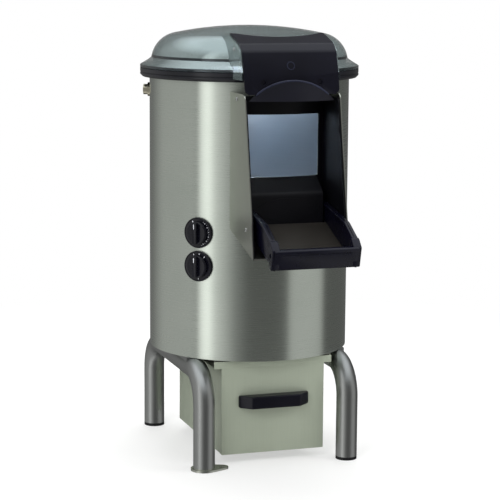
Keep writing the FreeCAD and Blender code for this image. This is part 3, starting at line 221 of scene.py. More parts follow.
def brushedSteel(name, colour, dark, grain, across, roughness, turned=False, metallic=1.0):
    # stainless sheet: long fine scratches of one direction, so the gloss smears across them.
    # across lists the axes along which the scratches lie close together
    material, tree = newMaterial(name)
    spot = addNode(tree, "ShaderNodeTexCoord").outputs["Object"]
    stretch = [1 / (scratchLength * mm)] * 3
    for axis in across:
        stretch[axis] = 1 / (grain * mm)
    lines = addNode(tree, "ShaderNodeMapping", {"Scale": stretch}, {"Vector": spot})
    noise = addNode(tree, "ShaderNodeTexNoise", {"Scale": 1.0, "Detail": 3.0, "Roughness": 0.6},
                    {"Vector": lines.outputs[0]})
    cloud = addNode(tree, "ShaderNodeTexNoise", {"Scale": 9.0, "Detail": 2.0}, {"Vector": spot})
    half = addNode(tree, "ShaderNodeMath", {"operation": "MULTIPLY", 1: 0.5}, {0: noise.outputs["Fac"]})
    total = addNode(tree, "ShaderNodeMath", {"operation": "MULTIPLY_ADD", 1: 0.5},
                    {0: cloud.outputs["Fac"], 2: half.outputs[0]})
    tint = shadesFrom(tree, total.outputs[0], [(0.15, srgb(dark)), (0.75, srgb(colour))])
    rough = levelsFrom(tree, noise.outputs["Fac"], roughness - 0.05, roughness + 0.08)
    bump = bumpFrom(tree, noise.outputs["Fac"], 0.02, 0.1)
    steel = addNode(tree, "ShaderNodeBsdfPrincipled", {"Metallic": metallic},
                    {"Base Color": tint, "Roughness": rough, "Normal": bump})
    if turned:
        steel.inputs["Anisotropic"].default_value = 0.85
        steel.inputs["Anisotropic Rotation"].default_value = 0.25
        around = addNode(tree, "ShaderNodeTangent", {"direction_type": "RADIAL", "axis": "Z"})
        tree.links.new(around.outputs[0], steel.inputs["Tangent"])
    closeMaterial(tree, steel.outputs[0])
    return material


def plainMetal(name, colour, roughness, metallic=1.0, grain=2.0):
    # turned or cast metal: an even satin with a faint mottle
    material, tree = newMaterial(name)
    spot = addNode(tree, "ShaderNodeTexCoord").outputs["Object"]
    noise = addNode(tree, "ShaderNodeTexNoise", {"Scale": 1 / (grain * mm), "Detail": 3.0}, {"Vector": spot})
    base = srgb(colour)
    tint = shadesFrom(tree, noise.outputs["Fac"], [(0.3, [c * 0.86 for c in base[:3]] + [1]), (0.7, base)])
    rough = levelsFrom(tree, noise.outputs["Fac"], roughness - 0.05, roughness + 0.07)
    bump = bumpFrom(tree, noise.outputs["Fac"], 0.08, 0.3)
    metal = addNode(tree, "ShaderNodeBsdfPrincipled", {"Metallic": metallic},
                    {"Base Color": tint, "Roughness": rough, "Normal": bump})
    closeMaterial(tree, metal.outputs[0])
    return material


def mouldedPlastic(name, colour, lift, roughness, grain=0.9, coat=0.0):
    # injection-moulded thermoplastic: dark, a spark-eroded fine grain, gloss worn a little on it
    material, tree = newMaterial(name)
    spot = addNode(tree, "ShaderNodeTexCoord").outputs["Object"]
    fine = addNode(tree, "ShaderNodeTexNoise", {"Scale": 1 / (grain * mm), "Detail": 2.0}, {"Vector": spot})
    broad = addNode(tree, "ShaderNodeTexNoise", {"Scale": 14.0, "Detail": 3.0}, {"Vector": spot})
    tint = shadesFrom(tree, broad.outputs["Fac"], [(0.3, srgb(colour)), (0.75, srgb(lift))])
    rough = levelsFrom(tree, broad.outputs["Fac"], roughness - 0.04, roughness + 0.08)
    bump = bumpFrom(tree, fine.outputs["Fac"], 0.12, 0.2)
    plastic = addNode(tree, "ShaderNodeBsdfPrincipled",
                      {"Specular IOR Level": 0.3, "Coat Weight": coat, "Coat Roughness": 0.12},
                      {"Base Color": tint, "Roughness": rough, "Normal": bump})
    closeMaterial(tree, plastic.outputs[0])
    return material


def clearPolycarbonate(name, colour, deep, alpha):
    # thick clear polycarbonate, vacuum formed: greenish grey where it is deep, bright gloss
    material, tree = newMaterial(name)
    spot = addNode(tree, "ShaderNodeTexCoord").outputs["Object"]
    haze = addNode(tree, "ShaderNodeTexNoise", {"Scale": 7.0, "Detail": 2.0}, {"Vector": spot})
    tint = shadesFrom(tree, haze.outputs["Fac"], [(0.3, srgb(deep)), (0.75, srgb(colour))])
    rough = levelsFrom(tree, haze.outputs["Fac"], 0.08, 0.16)
    # partly metallic, which stands in for the strong gloss of both of its faces
    gloss = {"IOR": 1.58, "Alpha": alpha, "Metallic": 0.7, "Coat Weight": 0.5}
    clear = addNode(tree, "ShaderNodeBsdfPrincipled", gloss, {"Base Color": tint, "Roughness": rough})
    closeMaterial(tree, clear.outputs[0])
    return material


def corundumGrit(name):
    # corundum grains in resin, drawn as coarse as they need to show
    material, tree = newMaterial(name)
    spot = addNode(tree, "ShaderNodeTexCoord").outputs["Object"]
    grains = addNode(tree, "ShaderNodeTexVoronoi", {"Scale": 1 / (2.2 * mm)}, {"Vector": spot})
    tint = shadesFrom(tree, grains.outputs["Distance"], [(0.1, srgb("#6a6a6c")), (0.7, srgb("#2b2b2d"))])
    bump = bumpFrom(tree, grains.outputs["Distance"], 0.8, 1)
    grit = addNode(tree, "ShaderNodeBsdfPrincipled", {"Roughness": 0.85},
                   {"Base Color": tint, "Normal": bump})
    closeMaterial(tree, grit.outputs[0])
    return material


steelDrum = brushedSteel("stainlessDrumBrushedAround", "#cdd3cb", "#bcc4bb", 1.2, [2], 0.27, turned=True)
# inner wall of the drum: a copy of the drum steel whose bluish tint is painted light, standing for the light
# that comes in through the clear lid
steelInsidePaintedLight = brushedSteel("stainlessDrumInsidePaintedBlueLight", "#c0ccd8", "#b0bdca", 1.6, [2], 0.3)
steelSheet = brushedSteel("stainlessSheetSatin", "#c0c2ba", "#adb0a6", 1.0, [2], 0.34)
steelDrawer = brushedSteel("stainlessDrawerSheet", "#b5bdab", "#a6ae9c", 1.2, [0], 0.42, metallic=0.4)
steelTube = brushedSteel("stainlessTubeLinished", "#a9abaa", "#979998", 1.0, [0, 1], 0.36)
# tray floor: stainless steel whose dark brown-grey colour is painted shade from the chute around it, not the
# steel's own colour
steelFloorPaintedShade = brushedSteel("stainlessTrayFloorPaintedShade", "#45423e", "#36332f", 1.2, [1], 0.3, metallic=0.5)
steelTurned = plainMetal("stainlessTurned", "#c4c6c6", 0.25)
castAlloy = plainMetal("aluminiumCast", "#b4b6b8", 0.45, grain=1.2)
motorEnamel = plainMetal("motorEnamel", "#33404a", 0.4, metallic=0.2)
nickelBrass = plainMetal("nickelPlatedBrass", "#c2bda9", 0.2)
blackAbs = mouldedPlastic("blackAbsMoulded", "#05050f", "#090916", 0.3)
blackTray = mouldedPlastic("blackTrayMoulded", "#070713", "#0c0c1b", 0.26)
linerPlastic = mouldedPlastic("blackLinerMoulded", "#040408", "#08080e", 0.5)
knobPlastic = mouldedPlastic("blackPhenolicKnob", "#08080f", "#0e0e18", 0.24)
rubberSeal = mouldedPlastic("blackRubberSeal", "#0b0c12", "#16171f", 0.3, coat=0.2)
rubberFoot = mouldedPlastic("blackRubberFoot", "#0e0e10", "#17171a", 0.6)
beltRubber = mouldedPlastic("ribbedBeltRubber", "#141416", "#1e1e20", 0.7)
greyService = mouldedPlastic("greyServicePlastic", "#2c2d30", "#38393d", 0.45)
whitePrint = mouldedPlastic("whiteScalePrint", "#d8dae0", "#eceef2", 0.5)
# a lighter copy of the black moulding for the grip bead and the hood's ring: its lighter blue-grey is a
# painted highlight along these edges
beadPaintedHighlight = mouldedPlastic("blackAbsPaintedEdgeHighlight", "#1d2030", "#2a2e40", 0.28)
clearCover = clearPolycarbonate("clearPolycarbonateLid", "#b4c4c4", "#93a3a3", 0.72)
# the lip and foot of the lid: clear plastic with a painted dark tint, standing for the black parts seen
# through them
coverEdgePaintedDark = clearPolycarbonate("clearPolycarbonatePaintedDarkEdge", "#3a4347", "#242a2f", 0.9)
gritCoat = corundumGrit("corundumGrit")
print("materials made")

# the finish of each material slot of the solids, and pieces with a finish of their own
finishOf = {
    "tube_steel": steelTube, "front_steel": steelSheet, "steel": steelDrum, "clear_cover": clearCover,
    "black_moulding": blackAbs, "gasket_rubber": rubberSeal, "foot_rubber": rubberFoot,
    "machined_steel": steelTurned, "cast_alloy": castAlloy, "grit": gritCoat, "motor_paint": motorEnamel,
    "belt_rubber": beltRubber, "service_plastic": greyService, "brass_fitting": nickelBrass,
}
ownFinish = {
    "chute_liner": linerPlastic, "tray_floor": steelFloorPaintedShade, "tray_frame": blackTray,
    "drawer_front": steelDrawer, "drawer_box": steelDrawer, "drawer_handle": blackAbs,
    "timer_dial": knobPlastic, "selector_dial": knobPlastic, "timer_knob": knobPlastic,
    "selector_knob": knobPlastic,
}

# edges that the solids leave sharp, in mm
bevelled = {"left_chute_cheek": 0.5, "right_chute_cheek": 0.5, "chute_bottom_plate": 0.4, "anchor_foot": 0.6,
            "frame_saddles": 0.4, "lid_hinge_bracket": 0.4, "terminal_box": 1.0, "drawer_rails": 0.3}


def dressFrame():
    for entry in frame["record"]["subparts"]:
        node = nodes[entry["node"]]
        material = ownFinish.get(entry["node"], finishOf[entry["material_slot"]])
        node.data.materials.clear()
        node.data.materials.append(material)
        if entry["node"] in bevelled:
            edge = node.modifiers.new("edge", "BEVEL")
            edge.width, edge.segments, edge.limit_method = bevelled[entry["node"]] * mm, 2, "ANGLE"


dressFrame()
print("carried-over pieces dressed")


# Modelling helpers

def deselectAll():
    if bpy.context.object and bpy.context.object.mode != "OBJECT":
        bpy.ops.object.mode_set(mode="OBJECT")
    bpy.ops.object.select_all(action="DESELECT")


def circlePoints(radius, count, centre=(0, 0)):
    turns = [2 * math.pi * i / count for i in range(count)]
    return [(centre[0] + radius * math.cos(turn), centre[1] + radius * math.sin(turn)) for turn in turns]


def boxOutline(half, low, high, *radius):
    # a box on the middle line, with its corners' radius if they are round
    return [(x, y, *radius) for x, y in ((-half, low), (half, low), (half, high), (-half, high))]


def roundedOutline(corners, steps=6):
    # a corner is (x, y), or (x, y, radius) where it is round
    points = []
    for i, corner in enumerate(corners):
        here = Vector(corner[:2])
        if len(corner) < 3:
            points.append(here)
            continue
        before = (Vector(corners[i - 1][:2]) - here).normalized()
        after = (Vector(corners[(i + 1) % len(corners)][:2]) - here).normalized()
        half = before.angle(after) / 2
        centre = here + (before + after).normalized() * corner[2] / math.sin(half)
        start = here + before * corner[2] / math.tan(half) - centre
        sweep = start.angle_signed(here + after * corner[2] / math.tan(half) - centre)
        for k in range(steps + 1):
            spin = Matrix.Rotation(-sweep * k / steps, 2)
            points.append(centre + spin @ start)
    return points


def arcPoints(start, end, radius, steps):
    # the points of an arc between start and end, bulging to the right of the way
    a, b = Vector(start), Vector(end)
    way = b - a
    rise = radius - math.sqrt(radius ** 2 - (way.length / 2) ** 2)
    normal = Vector((way.y, -way.x)).normalized()
    centre = (a + b) / 2 + normal * (rise - radius)
    begin = a - centre
    sweep = begin.angle_signed(b - centre)
    return [centre + Matrix.Rotation(-sweep * k / steps, 2) @ begin for k in range(1, steps)]


def outlineObject(name, points, plane, start=0.0, filled=True):
    # a closed outline, drawn in millimetres on the plane named by its two axes
    deselectAll()
    fill = "NGON" if filled else "NOTHING"
    bpy.ops.mesh.primitive_circle_add(vertices=len(points), radius=1, fill_type=fill, location=(0, 0, 0))
    item = bpy.context.active_object
    item.name = name
    axes = {"XZ": (0, 2, 1), "YZ": (1, 2, 0), "XY": (0, 1, 2)}[plane]
    for vertex, point in zip(item.data.vertices, points):
        spot = [0.0, 0.0, 0.0]
        spot[axes[0]], spot[axes[1]], spot[axes[2]] = point[0] * mm, point[1] * mm, start * mm
        vertex.co = spot
    return item


def tidyNormals(item):
    deselectAll()
    bpy.context.view_layer.objects.active = item
    item.select_set(True)
    bpy.ops.object.mode_set(mode="EDIT")
    bpy.ops.mesh.select_all(action="SELECT")
    bpy.ops.mesh.remove_doubles(threshold=0.00001)
    bpy.ops.mesh.normals_make_consistent(inside=False)
    bpy.ops.object.mode_set(mode="OBJECT")


def pushed(name, points, plane, start, end):
    # an outline extruded from start to end along the plane's third axis
    item = outlineObject(name, points, plane, start)
    axis = {"XZ": (0, 1, 0), "YZ": (1, 0, 0), "XY": (0, 0, 1)}[plane]
    bpy.ops.object.mode_set(mode="EDIT")
    bpy.ops.mesh.select_all(action="SELECT")
    way = [a * (end - start) * mm for a in axis]
    bpy.ops.mesh.extrude_region_move(TRANSFORM_OT_translate={"value": way})
    bpy.ops.object.mode_set(mode="OBJECT")
    tidyNormals(item)
    return item


def spun(name, section, steps=192):
    # a section of radius and height turned a full circle about Z
    item = outlineObject(name, section, "XZ", filled=False)
    bpy.ops.object.mode_set(mode="EDIT")
    bpy.ops.mesh.select_all(action="SELECT")
    bpy.ops.mesh.spin(steps=steps, angle=2 * math.pi, center=(0, 0, 0), axis=(0, 0, 1))
    bpy.ops.object.mode_set(mode="OBJECT")
    tidyNormals(item)
    return item


def applyModifier(item, modifier):
    deselectAll()
    bpy.context.view_layer.objects.active = item
    item.select_set(True)
    bpy.ops.object.modifier_apply(modifier=modifier.name)


def carve(item, tool, how="DIFFERENCE"):
    modifier = item.modifiers.new("carve", "BOOLEAN")
    modifier.operation = how
    modifier.solver = "EXACT"
    modifier.object = tool
    applyModifier(item, modifier)
    bpy.data.objects.remove(tool)
    return item


def soften(item, width, segments=2, angle=35):
    modifier = item.modifiers.new("soften", "BEVEL")
    modifier.width = width * mm
    modifier.segments = segments
    modifier.limit_method = "ANGLE"
    modifier.angle_limit = math.radians(angle)
    modifier.harden_normals = False
    modifier.miter_outer = "MITER_ARC"
    applyModifier(item, modifier)
    return item


def smooth(item, angle=32):
    deselectAll()
    bpy.context.view_layer.objects.active = item
    item.select_set(True)
    bpy.ops.object.shade_smooth_by_angle(angle=math.radians(angle))
    return item


def joined(items, name):
    deselectAll()
    for item in items:
        item.select_set(True)
    bpy.context.view_layer.objects.active = items[0]
    bpy.ops.object.join()
    items[0].name = name
    return items[0]


def finished(item, body, material, slot, *replaced):
    item.data.materials.clear()
    item.data.materials.append(material)
    deselectAll()
    bpy.context.view_layer.objects.active = item
    item.select_set(True)
    bpy.ops.object.transform_apply(location=True, rotation=True, scale=True)
    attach(item, body)
    if replaced:
        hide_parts(*replaced)
    return item


def solidTube(name, radius, start, end, plane, sides=32):
    # a solid cylinder on the plane named by its two axes, from start's third number to end
    return pushed(name, circlePoints(radius, sides, start), plane, start[2], end)


# Drum

drum = {"radius": 200, "wall": 1.5, "foot": 211.2, "top": 760, "rim": 15, "windowSide": 80,
        "windowFoot": 572.5, "windowTop": 692, "windowCorner": 4, "windowTool": (-300, -60)}


def buildDrum():
    inner, outer = drum["radius"] - drum["wall"], drum["radius"]
    foot, top, edge = drum["foot"], drum["top"], outer + drum["rim"]
    rimTop = top + drum["wall"]
    section = [(inner, foot), (outer, foot), (outer, top), (edge, top), (edge, rimTop), (inner, rimTop)]
    shell = spun("drumShell", section, 256)
    side, corner = drum["windowSide"], drum["windowCorner"]
    low, high = drum["windowFoot"], drum["windowTop"]
    window = roundedOutline(boxOutline(side, low, high, corner))
    carve(shell, pushed("windowTool", window, "XZ", *drum["windowTool"]))
    smooth(shell, 30)
    finished(shell, "stand", steelDrum, "steel", "outer_casing")
    shell.data.materials.append(steelInsidePaintedLight)
    for face in shell.data.polygons:
        # the inner wall, which shows through the window, takes the copy of the drum steel with painted bluish
        # light
        if face.center.xy.length < (inner + 0.3) * mm:
            face.material_index = 1
    return shell


gasket = {"inner": 201, "foot": 753.5, "radius": 218.8, "top": 771, "groove": 1.2, "grooveFoot": 761,
          "chamfer": 4.5, "seatInner": 199, "seat": 761.6}


def buildGasket():
    r, g = gasket["radius"], gasket["groove"]
    low, chamfer, line = gasket["foot"], gasket["chamfer"], gasket["grooveFoot"]
    seat, seatInner, top = gasket["seat"], gasket["seatInner"], gasket["top"]
    section = roundedOutline([
        (gasket["inner"], low), (r - chamfer, low, 1.0), (r, low + chamfer, 1.2),
        (r, line, 0.4), (r - g, line + 0.8), (r - g, line + 1.6), (r, line + 2.4, 0.4), (r, top, 0.8),
        (seatInner, top), (seatInner, seat), (gasket["inner"], seat)], 3)
    ring = spun("rimSeal", section, 256)
    smooth(ring, 30)
    return finished(ring, "stand", rubberSeal, "gasket_rubber", "rim_gasket")


# Lid

lid = {"foot": 771.3, "lip": 777.3, "stepRadius": 204, "step": 785.5, "footRadius": 196.5, "domeFoot": 791,
       "curve": 58, "crownRadius": 148, "crownEdge": 840, "top": 855, "crownCurve": 738, "wall": 3,
       "porchSide": 97, "porchFoot": 760, "porchBack": 826, "porchGap": 0.2, "darkRise": 3, "darkSlope": 0.5}
# The hood's front profile is a list of reach and height, its notch one of x and height.
# rounds gives the radius of a corner by its place in the profile; dimple is x, height, radius and reach
hood = {"side": 94, "wall": 3.5, "edge": 190, "rounds": {2: (34,), 3: (14,)}, "dimple": (56, 757, 5, 254.5),
        "front": [(136.5, 846), (169.5, 845), (222, 829), (240, 814), (253, 774), (261, 734)],
        "notch": [(95.5, 732), (84, 732), (88, 735.4), (92.4, 738.6), (94.2, 744), (95.5, 744)]}


def domeSection(inset, foot):
    section = [(0.0, foot)]
    if inset == 0:
        edge = gasket["radius"]
        section += [(edge - 0.8, foot), (edge, foot + 0.8), (edge, lid["lip"] - 1), (edge - 1, lid["lip"]),
                    (lid["stepRadius"], lid["step"])]
    else:
        section += [(lid["footRadius"] - inset, foot)]
    start = (lid["footRadius"] - inset, lid["domeFoot"])
    crease = (lid["crownRadius"] - inset / 2, lid["crownEdge"] - inset)
    section += [start] + arcPoints(start, crease, lid["curve"] - inset, 14) + [crease]
    section += arcPoints(crease, (0.0, lid["top"] - inset), lid["crownCurve"] - inset, 8)
    return section + [(0.0, lid["top"] - inset)]


def insetFront(inset):
    # the hood's profile moved inwards: its top mostly down, its front only back
    points = []
    for i, (reach, height) in enumerate(hood["front"]):
        points.append((-(reach - inset * (0.35 if i < 2 else 1)), height - (inset if i < 3 else 0)))
    return points


def porchOutline(inset, foot):
    front = insetFront(inset)
    last, before = front[-1], front[-2]
    slope = (last[0] - before[0]) / (last[1] - before[1])
    end = (before[0] + slope * (foot - before[1]), foot)
    return [(0.0, foot), (0.0, lid["porchBack"])] + front[:-1] + [end]


def buildLid():
    side, wall, underHood = lid["porchSide"], lid["wall"], hood["wall"] + lid["porchGap"]
    shell = spun("clearLid", domeSection(0, lid["foot"]))
    porch = porchOutline(underHood, lid["porchFoot"])
    carve(shell, pushed("porchOuter", porch, "YZ", -side, side), "UNION")
    room = spun("domeRoom", domeSection(wall, lid["foot"] - 1))
    porchRoom = porchOutline(underHood + wall, lid["porchFoot"] - 5)
    carve(room, pushed("porchRoom", porchRoom, "YZ", wall - side, side - wall), "UNION")
    carve(shell, room)
    rimRoom = solidTube("rimRoom", gasket["radius"] + 0.4, (0, 0, 740), lid["foot"], "XY", 192)
    carve(shell, rimRoom)
    smooth(shell, 24)
    finished(shell, "lid", clearCover, "clear_cover", "lid_dome")
    shell.data.materials.append(coverEdgePaintedDark)
    for face in shell.data.polygons:
        # the lip and the foot of the dome are seen through their whole depth, so they look dark: the dark
        # seen through them is painted into their colour
        foot = face.center.z < (lid["domeFoot"] + lid["darkRise"]) * mm and face.normal.z < lid["darkSlope"]
        if foot or face.center.z < lid["lip"] * mm:
            face.material_index = 1
    return shell


grip = {"half": 74, "foot": 733, "peak": 761, "reach": 279, "end": 722, "lean": 20, "curve": 190, "wall": 3.5,
        "roomFoot": 8, "behind": 12, "bead": 2.1, "beadInset": 1.4, "beadReach": 0.9}


def gripRound():
    # the radius of the half-moon's top edge, and the height of its centre
    rise = grip["peak"] - grip["foot"]
    radius = (grip["half"] ** 2 + rise ** 2) / (2 * rise)
    return radius, grip["peak"] - radius


def roundEdge(radius, centre, foot, steps):
    # the points of a round edge above the height foot, from right to left
    start = math.asin(min(1, (foot - centre) / radius))
    turns = [start + (math.pi - 2 * start) * i / steps for i in range(steps + 1)]
    return [(radius * math.cos(turn), centre + radius * math.sin(turn)) for turn in turns]


def leaningTube(name, inset):
    radius = grip["curve"] - inset
    tube = solidTube(name, radius, (0, 0, -150), 150, "XY", 160)
    lean = math.radians(grip["lean"])
    turn = Matrix.Rotation(-lean, 4, "X")
    middle = Vector((0, -(grip["reach"] - grip["curve"] / math.cos(lean)) * mm, grip["end"] * mm))
    tube.data.transform(Matrix.Translation(middle) @ turn)
    return tube


def gripBulge(name, inset):
    radius, centre = gripRound()
    foot = grip["end"] - (grip["roomFoot"] if inset else 0)
    arch = roundEdge(radius - inset, centre, foot, 40)
    bulge = pushed(name, arch, "XZ", -310, grip["behind"] - hood["front"][-1][0])
    carve(bulge, leaningTube(name + "Lean", inset), "INTERSECT")
    return bulge


def buildHood():
    outer = roundedOutline([(-reach, height) + hood["rounds"].get(i, ())
                            for i, (reach, height) in enumerate(hood["front"])], 8)
    inner = [Vector(p) for p in reversed(insetFront(hood["wall"]))]
    shell = pushed("lidHood", list(outer) + inner, "YZ", -hood["side"], hood["side"])
    carve(shell, solidTube("hoodEdgeTool", hood["edge"], (0, 0, 600), 900, "XY", 192))
    for hand in (-1, 1):
        notch = [(x * hand, z) for x, z in hood["notch"]]
        carve(shell, pushed("hoodCornerTool", notch, "XZ", -300, -230))
    bulge = gripBulge("gripBulge", 0)
    room = gripBulge("gripRoom", grip["wall"])
    face = insetFront(0)
    behind = [(0, 700), (0, face[-2][1]), face[-2], face[-1], (face[-1][0], 700)]
    carve(room, pushed("behindFace", behind, "YZ", -120, 120))
    carve(bulge, room)
    inside = insetFront(hood["wall"])
    hollow = [(0, 700), (0, 800)] + inside[4:] + [(inside[-1][0], 700)]
    carve(bulge, pushed("hoodHollow", hollow, "YZ", -120, 120))
    carve(shell, bulge, "UNION")
    x, height, radius, reach = hood["dimple"]
    for hand in (-1, 1):
        carve(shell, solidTube("dimpleTool", radius, (x * hand, height, -270), -reach, "XZ", 24))
    soften(shell, 0.7, 2, 40)
    smooth(shell, 30)
    return finished(shell, "lid", blackAbs, "black_moulding", "lid_hood")


def wire(name, points, radius):
    # a round bead along points given in millimetres
    data = bpy.data.curves.new(name, "CURVE")
    data.dimensions = "3D"
    data.bevel_depth = radius * mm
    data.bevel_resolution = 3
    data.use_fill_caps = True
    line = data.splines.new("POLY")
    line.points.add(len(points) - 1)
    for spot, point in zip(line.points, points):
        spot.co = (point[0] * mm, point[1] * mm, point[2] * mm, 1)
    item = bpy.data.objects.new(name, data)
    bpy.context.scene.collection.objects.link(item)
    deselectAll()
    bpy.context.view_layer.objects.active = item
    item.select_set(True)
    bpy.ops.object.convert(target="MESH")
    tidyNormals(bpy.context.active_object)
    return bpy.context.active_object


# Chute and tray: outlines are (y, z) or (y, z, radius) on the machine's middle plane

tray = {"inner": 77, "side": 81, "rim": 86, "bar": 82, "lobe": (200, 518, 11.5), "floor": (240, 482),
        "fall": 0.3803, "floorEnd": 379, "floorSheet": 3, "pin": (6, 78, 93),
        "top": [(-218, 526), (-342, 502, 48), (-386, 478, 12)],
        "wallFront": [(-398, 455), (-393.8, 423.5)],
        "rimUnder": [(-398, 459), (-393, 457), (-381, 474), (-340, 497, 48), (-218, 521)],
        "corner": [(-376, 478, 6), (-390, 478, 8), (-405, 462, 5), (-396, 424, 3), (-382, 428, 3)],
        "cornerHole": (-393, 452, 4.5),
        "barOutline": [(-379.8, 429), (-394, 423.5, 3), (-407.8, 460, 3.5), (-404, 463, 3), (-393.8, 464, 3)],
        "grooves": [(-408.2, 461.5), (-405.4, 452.6), (-398.0, 465.4)], "groove": 1.9, "grooveEnd": 66}


def onFloor(reach, above=0):
    return (-reach, tray["floor"][1] - (reach - tray["floor"][0]) * tray["fall"] + above)


def buildTray():
    parts = []
    inner, side, rim = tray["inner"], tray["side"], tray["rim"]
    reach, height, lobe = tray["lobe"]
    lobeTop = [(-reach + lobe, height - lobe, 10), (-reach + lobe, height + lobe, 10)]
    lobeFoot = [onFloor(tray["floor"][0]), (-202, height - lobe)]
    wallLine = roundedOutline(lobeTop + tray["top"] + tray["wallFront"] + lobeFoot, 8)
    rimLine = roundedOutline(tray["top"] + tray["rimUnder"], 8)
    cornerLine = roundedOutline(tray["corner"], 6)
    holeY, holeZ, holeRadius = tray["cornerHole"]
    pinRadius, pinIn, pinOut = tray["pin"]
    start, end, thick = tray["floor"][0], tray["floorEnd"], tray["floorSheet"]
    ledgeLine = [onFloor(start), onFloor(end), onFloor(end, thick), onFloor(start, thick)]
    for hand in (-1, 1):
        parts.append(soften(pushed("trayWall", wallLine, "YZ", inner * hand, side * hand), 0.8))
        parts.append(soften(pushed("trayRim", rimLine, "YZ", (inner - 3) * hand, rim * hand), 1.8, 3))
        corner = pushed("trayCorner", cornerLine, "YZ", (side - 10) * hand, (rim + 1) * hand)
        soften(corner, 2, 3)
        hole = circlePoints(holeRadius, 24, (holeY, holeZ))
        parts.append(carve(corner, pushed("trayCornerTool", hole, "YZ", (rim - 2) * hand, (rim + 6) * hand)))
        pin = circlePoints(pinRadius, 32, (-reach, height))
        parts.append(pushed("trayPin", pin, "YZ", pinIn * hand, pinOut * hand))
        parts.append(pushed("trayLedge", ledgeLine, "YZ", (inner - 6) * hand, (inner + 1) * hand))
    bar = pushed("trayBar", roundedOutline(tray["barOutline"], 6), "YZ", -tray["bar"], tray["bar"])
    soften(bar, 0.8)
    for centre in tray["grooves"]:
        slot = circlePoints(tray["groove"], 12, centre)
        carve(bar, pushed("trayGroove", slot, "YZ", -tray["grooveEnd"], tray["grooveEnd"]))
    parts.append(bar)
    frameObject = joined(parts, "trayFrame")
    smooth(frameObject, 35)
    return finished(frameObject, "tray", blackTray, "black_moulding", "tray_frame")


# Knobs

# turn is the bearing of both controls in degrees; face, start and spindle are distances from the drum's axis
knobSet = {"turn": 46.9, "dial": 30, "dialDeep": 14, "face": 204.5, "recess": 0.9, "markEdge": 4.4,
           "knob": 22, "start": 204.8, "skirt": 6, "bar": (5.5, 20.5, 3.5), "barTop": 15,
           "spindle": (3, 168.5), "pointer": (0.7, 9, 18), "timer": 460.8, "selector": 395.3}


def knobPlace(height):
    a = math.radians(knobSet["turn"])
    return Matrix(((math.cos(a), 0, -math.sin(a), 0), (-math.sin(a), 0, -math.cos(a), 0),
                   (0, 1, 0, height * mm), (0, 0, 0, 1)))


def standOut(item, height):
    item.data.transform(knobPlace(height))
    tidyNormals(item)
    return item


def buildDial(name, node, height, marks):
    # the fixed disc with its raised rim, and the printed marks on it
    r, face, deep = knobSet["dial"], knobSet["face"], knobSet["face"] - knobSet["recess"]
    back = face - knobSet["dialDeep"]
    section = [(0, back), (r, back), (r, face, 1.0), (r - 1.8, face, 0.4), (r - 2.4, deep, 0.3), (0, deep)]
    disc = spun(name, roundedOutline(section, 4), 96)
    standOut(disc, height)
    carve(disc, solidTube("dialSeat", drum["radius"], (0, 0, 100), 800, "XY", 256))
    smooth(disc, 30)
    finished(disc, "stand", knobPlastic, "black_moulding", node)
    prints = []
    outer = r - knobSet["markEdge"]
    for angle, length, width in marks:
        tick = pushed("tick", boxOutline(width / 2, outer - length, outer), "XY", face - 1.1, face - 0.7)
        tick.data.transform(Matrix.Rotation(math.radians(-angle), 4, "Z"))
        prints.append(tick)
    printed = standOut(joined(prints, name + "Marks"), height)
    return finished(printed, "stand", whitePrint, "service_plastic")


def buildKnob(name, node, height):
    # the turning knob: a skirted disc with a raised grip bar and its spindle
    r, start = knobSet["knob"], knobSet["start"]
    top = start + knobSet["skirt"]
    section = [(0, start), (r, start), (r, start + 4.6, 1.6), (r - 3, top, 1.0), (0, top)]
    skirt = spun("knobSkirt", roundedOutline(section, 4), 96)
    halfWidth, halfLength, corner = knobSet["bar"]
    barLine = roundedOutline(boxOutline(halfWidth, -halfLength, halfLength, corner), 6)
    bar = pushed("knobBar", barLine, "XY", start + 2, start + knobSet["barTop"])
    soften(bar, 1.4, 3, 50)
    spindleRadius, spindleStart = knobSet["spindle"]
    spindle = solidTube("knobSpindle", spindleRadius, (0, 0, spindleStart), start + 3, "XY", 24)
    whole = standOut(joined([skirt, bar, spindle], name), height)
    smooth(whole, 35)
    finished(whole, node, knobPlastic, "black_moulding", node)
    line = boxOutline(*knobSet["pointer"])
    face = start + knobSet["barTop"]
    pointer = standOut(pushed(name + "Pointer", line, "XY", face - 0.4, face + 0.1), height)
    return finished(pointer, node, whitePrint, "service_plastic")


# Drawer

# outlines on the handle's plan are (x, y), on the front sheet's face (x, z)
handle = {"foot": 114, "top": 139, "roof": 134,
          "cup": [(73, -163.9), (71, -172, 5), (50, -190, 9)], "room": [(67, -160), (64, -171), (47, -185)]}
front = {"face": (-164, -162), "half": 106.3, "foot": 20, "top": 208, "ear": 122, "earFoot": 193.5,
         "corner": 1.5, "hem": 1.4, "hemBack": -150}


def mirrored(points):
    # an outline that starts at the middle plane's right side and is the same on the left
    left = [(-point[0],) + tuple(point[1:]) for point in reversed(points)]
    return left[-1:] + points + left[:-1]


def buildHandle():
    outline = roundedOutline(mirrored(handle["cup"]), 8)
    shape = pushed("handleCup", outline, "XY", handle["foot"], handle["top"])
    soften(shape, 3.2, 4, 50)
    carve(shape, pushed("handleRoom", mirrored(handle["room"]), "XY", 100, handle["roof"]))
    smooth(shape, 35)
    return finished(shape, "drawer", blackAbs, "black_moulding", "drawer_handle")


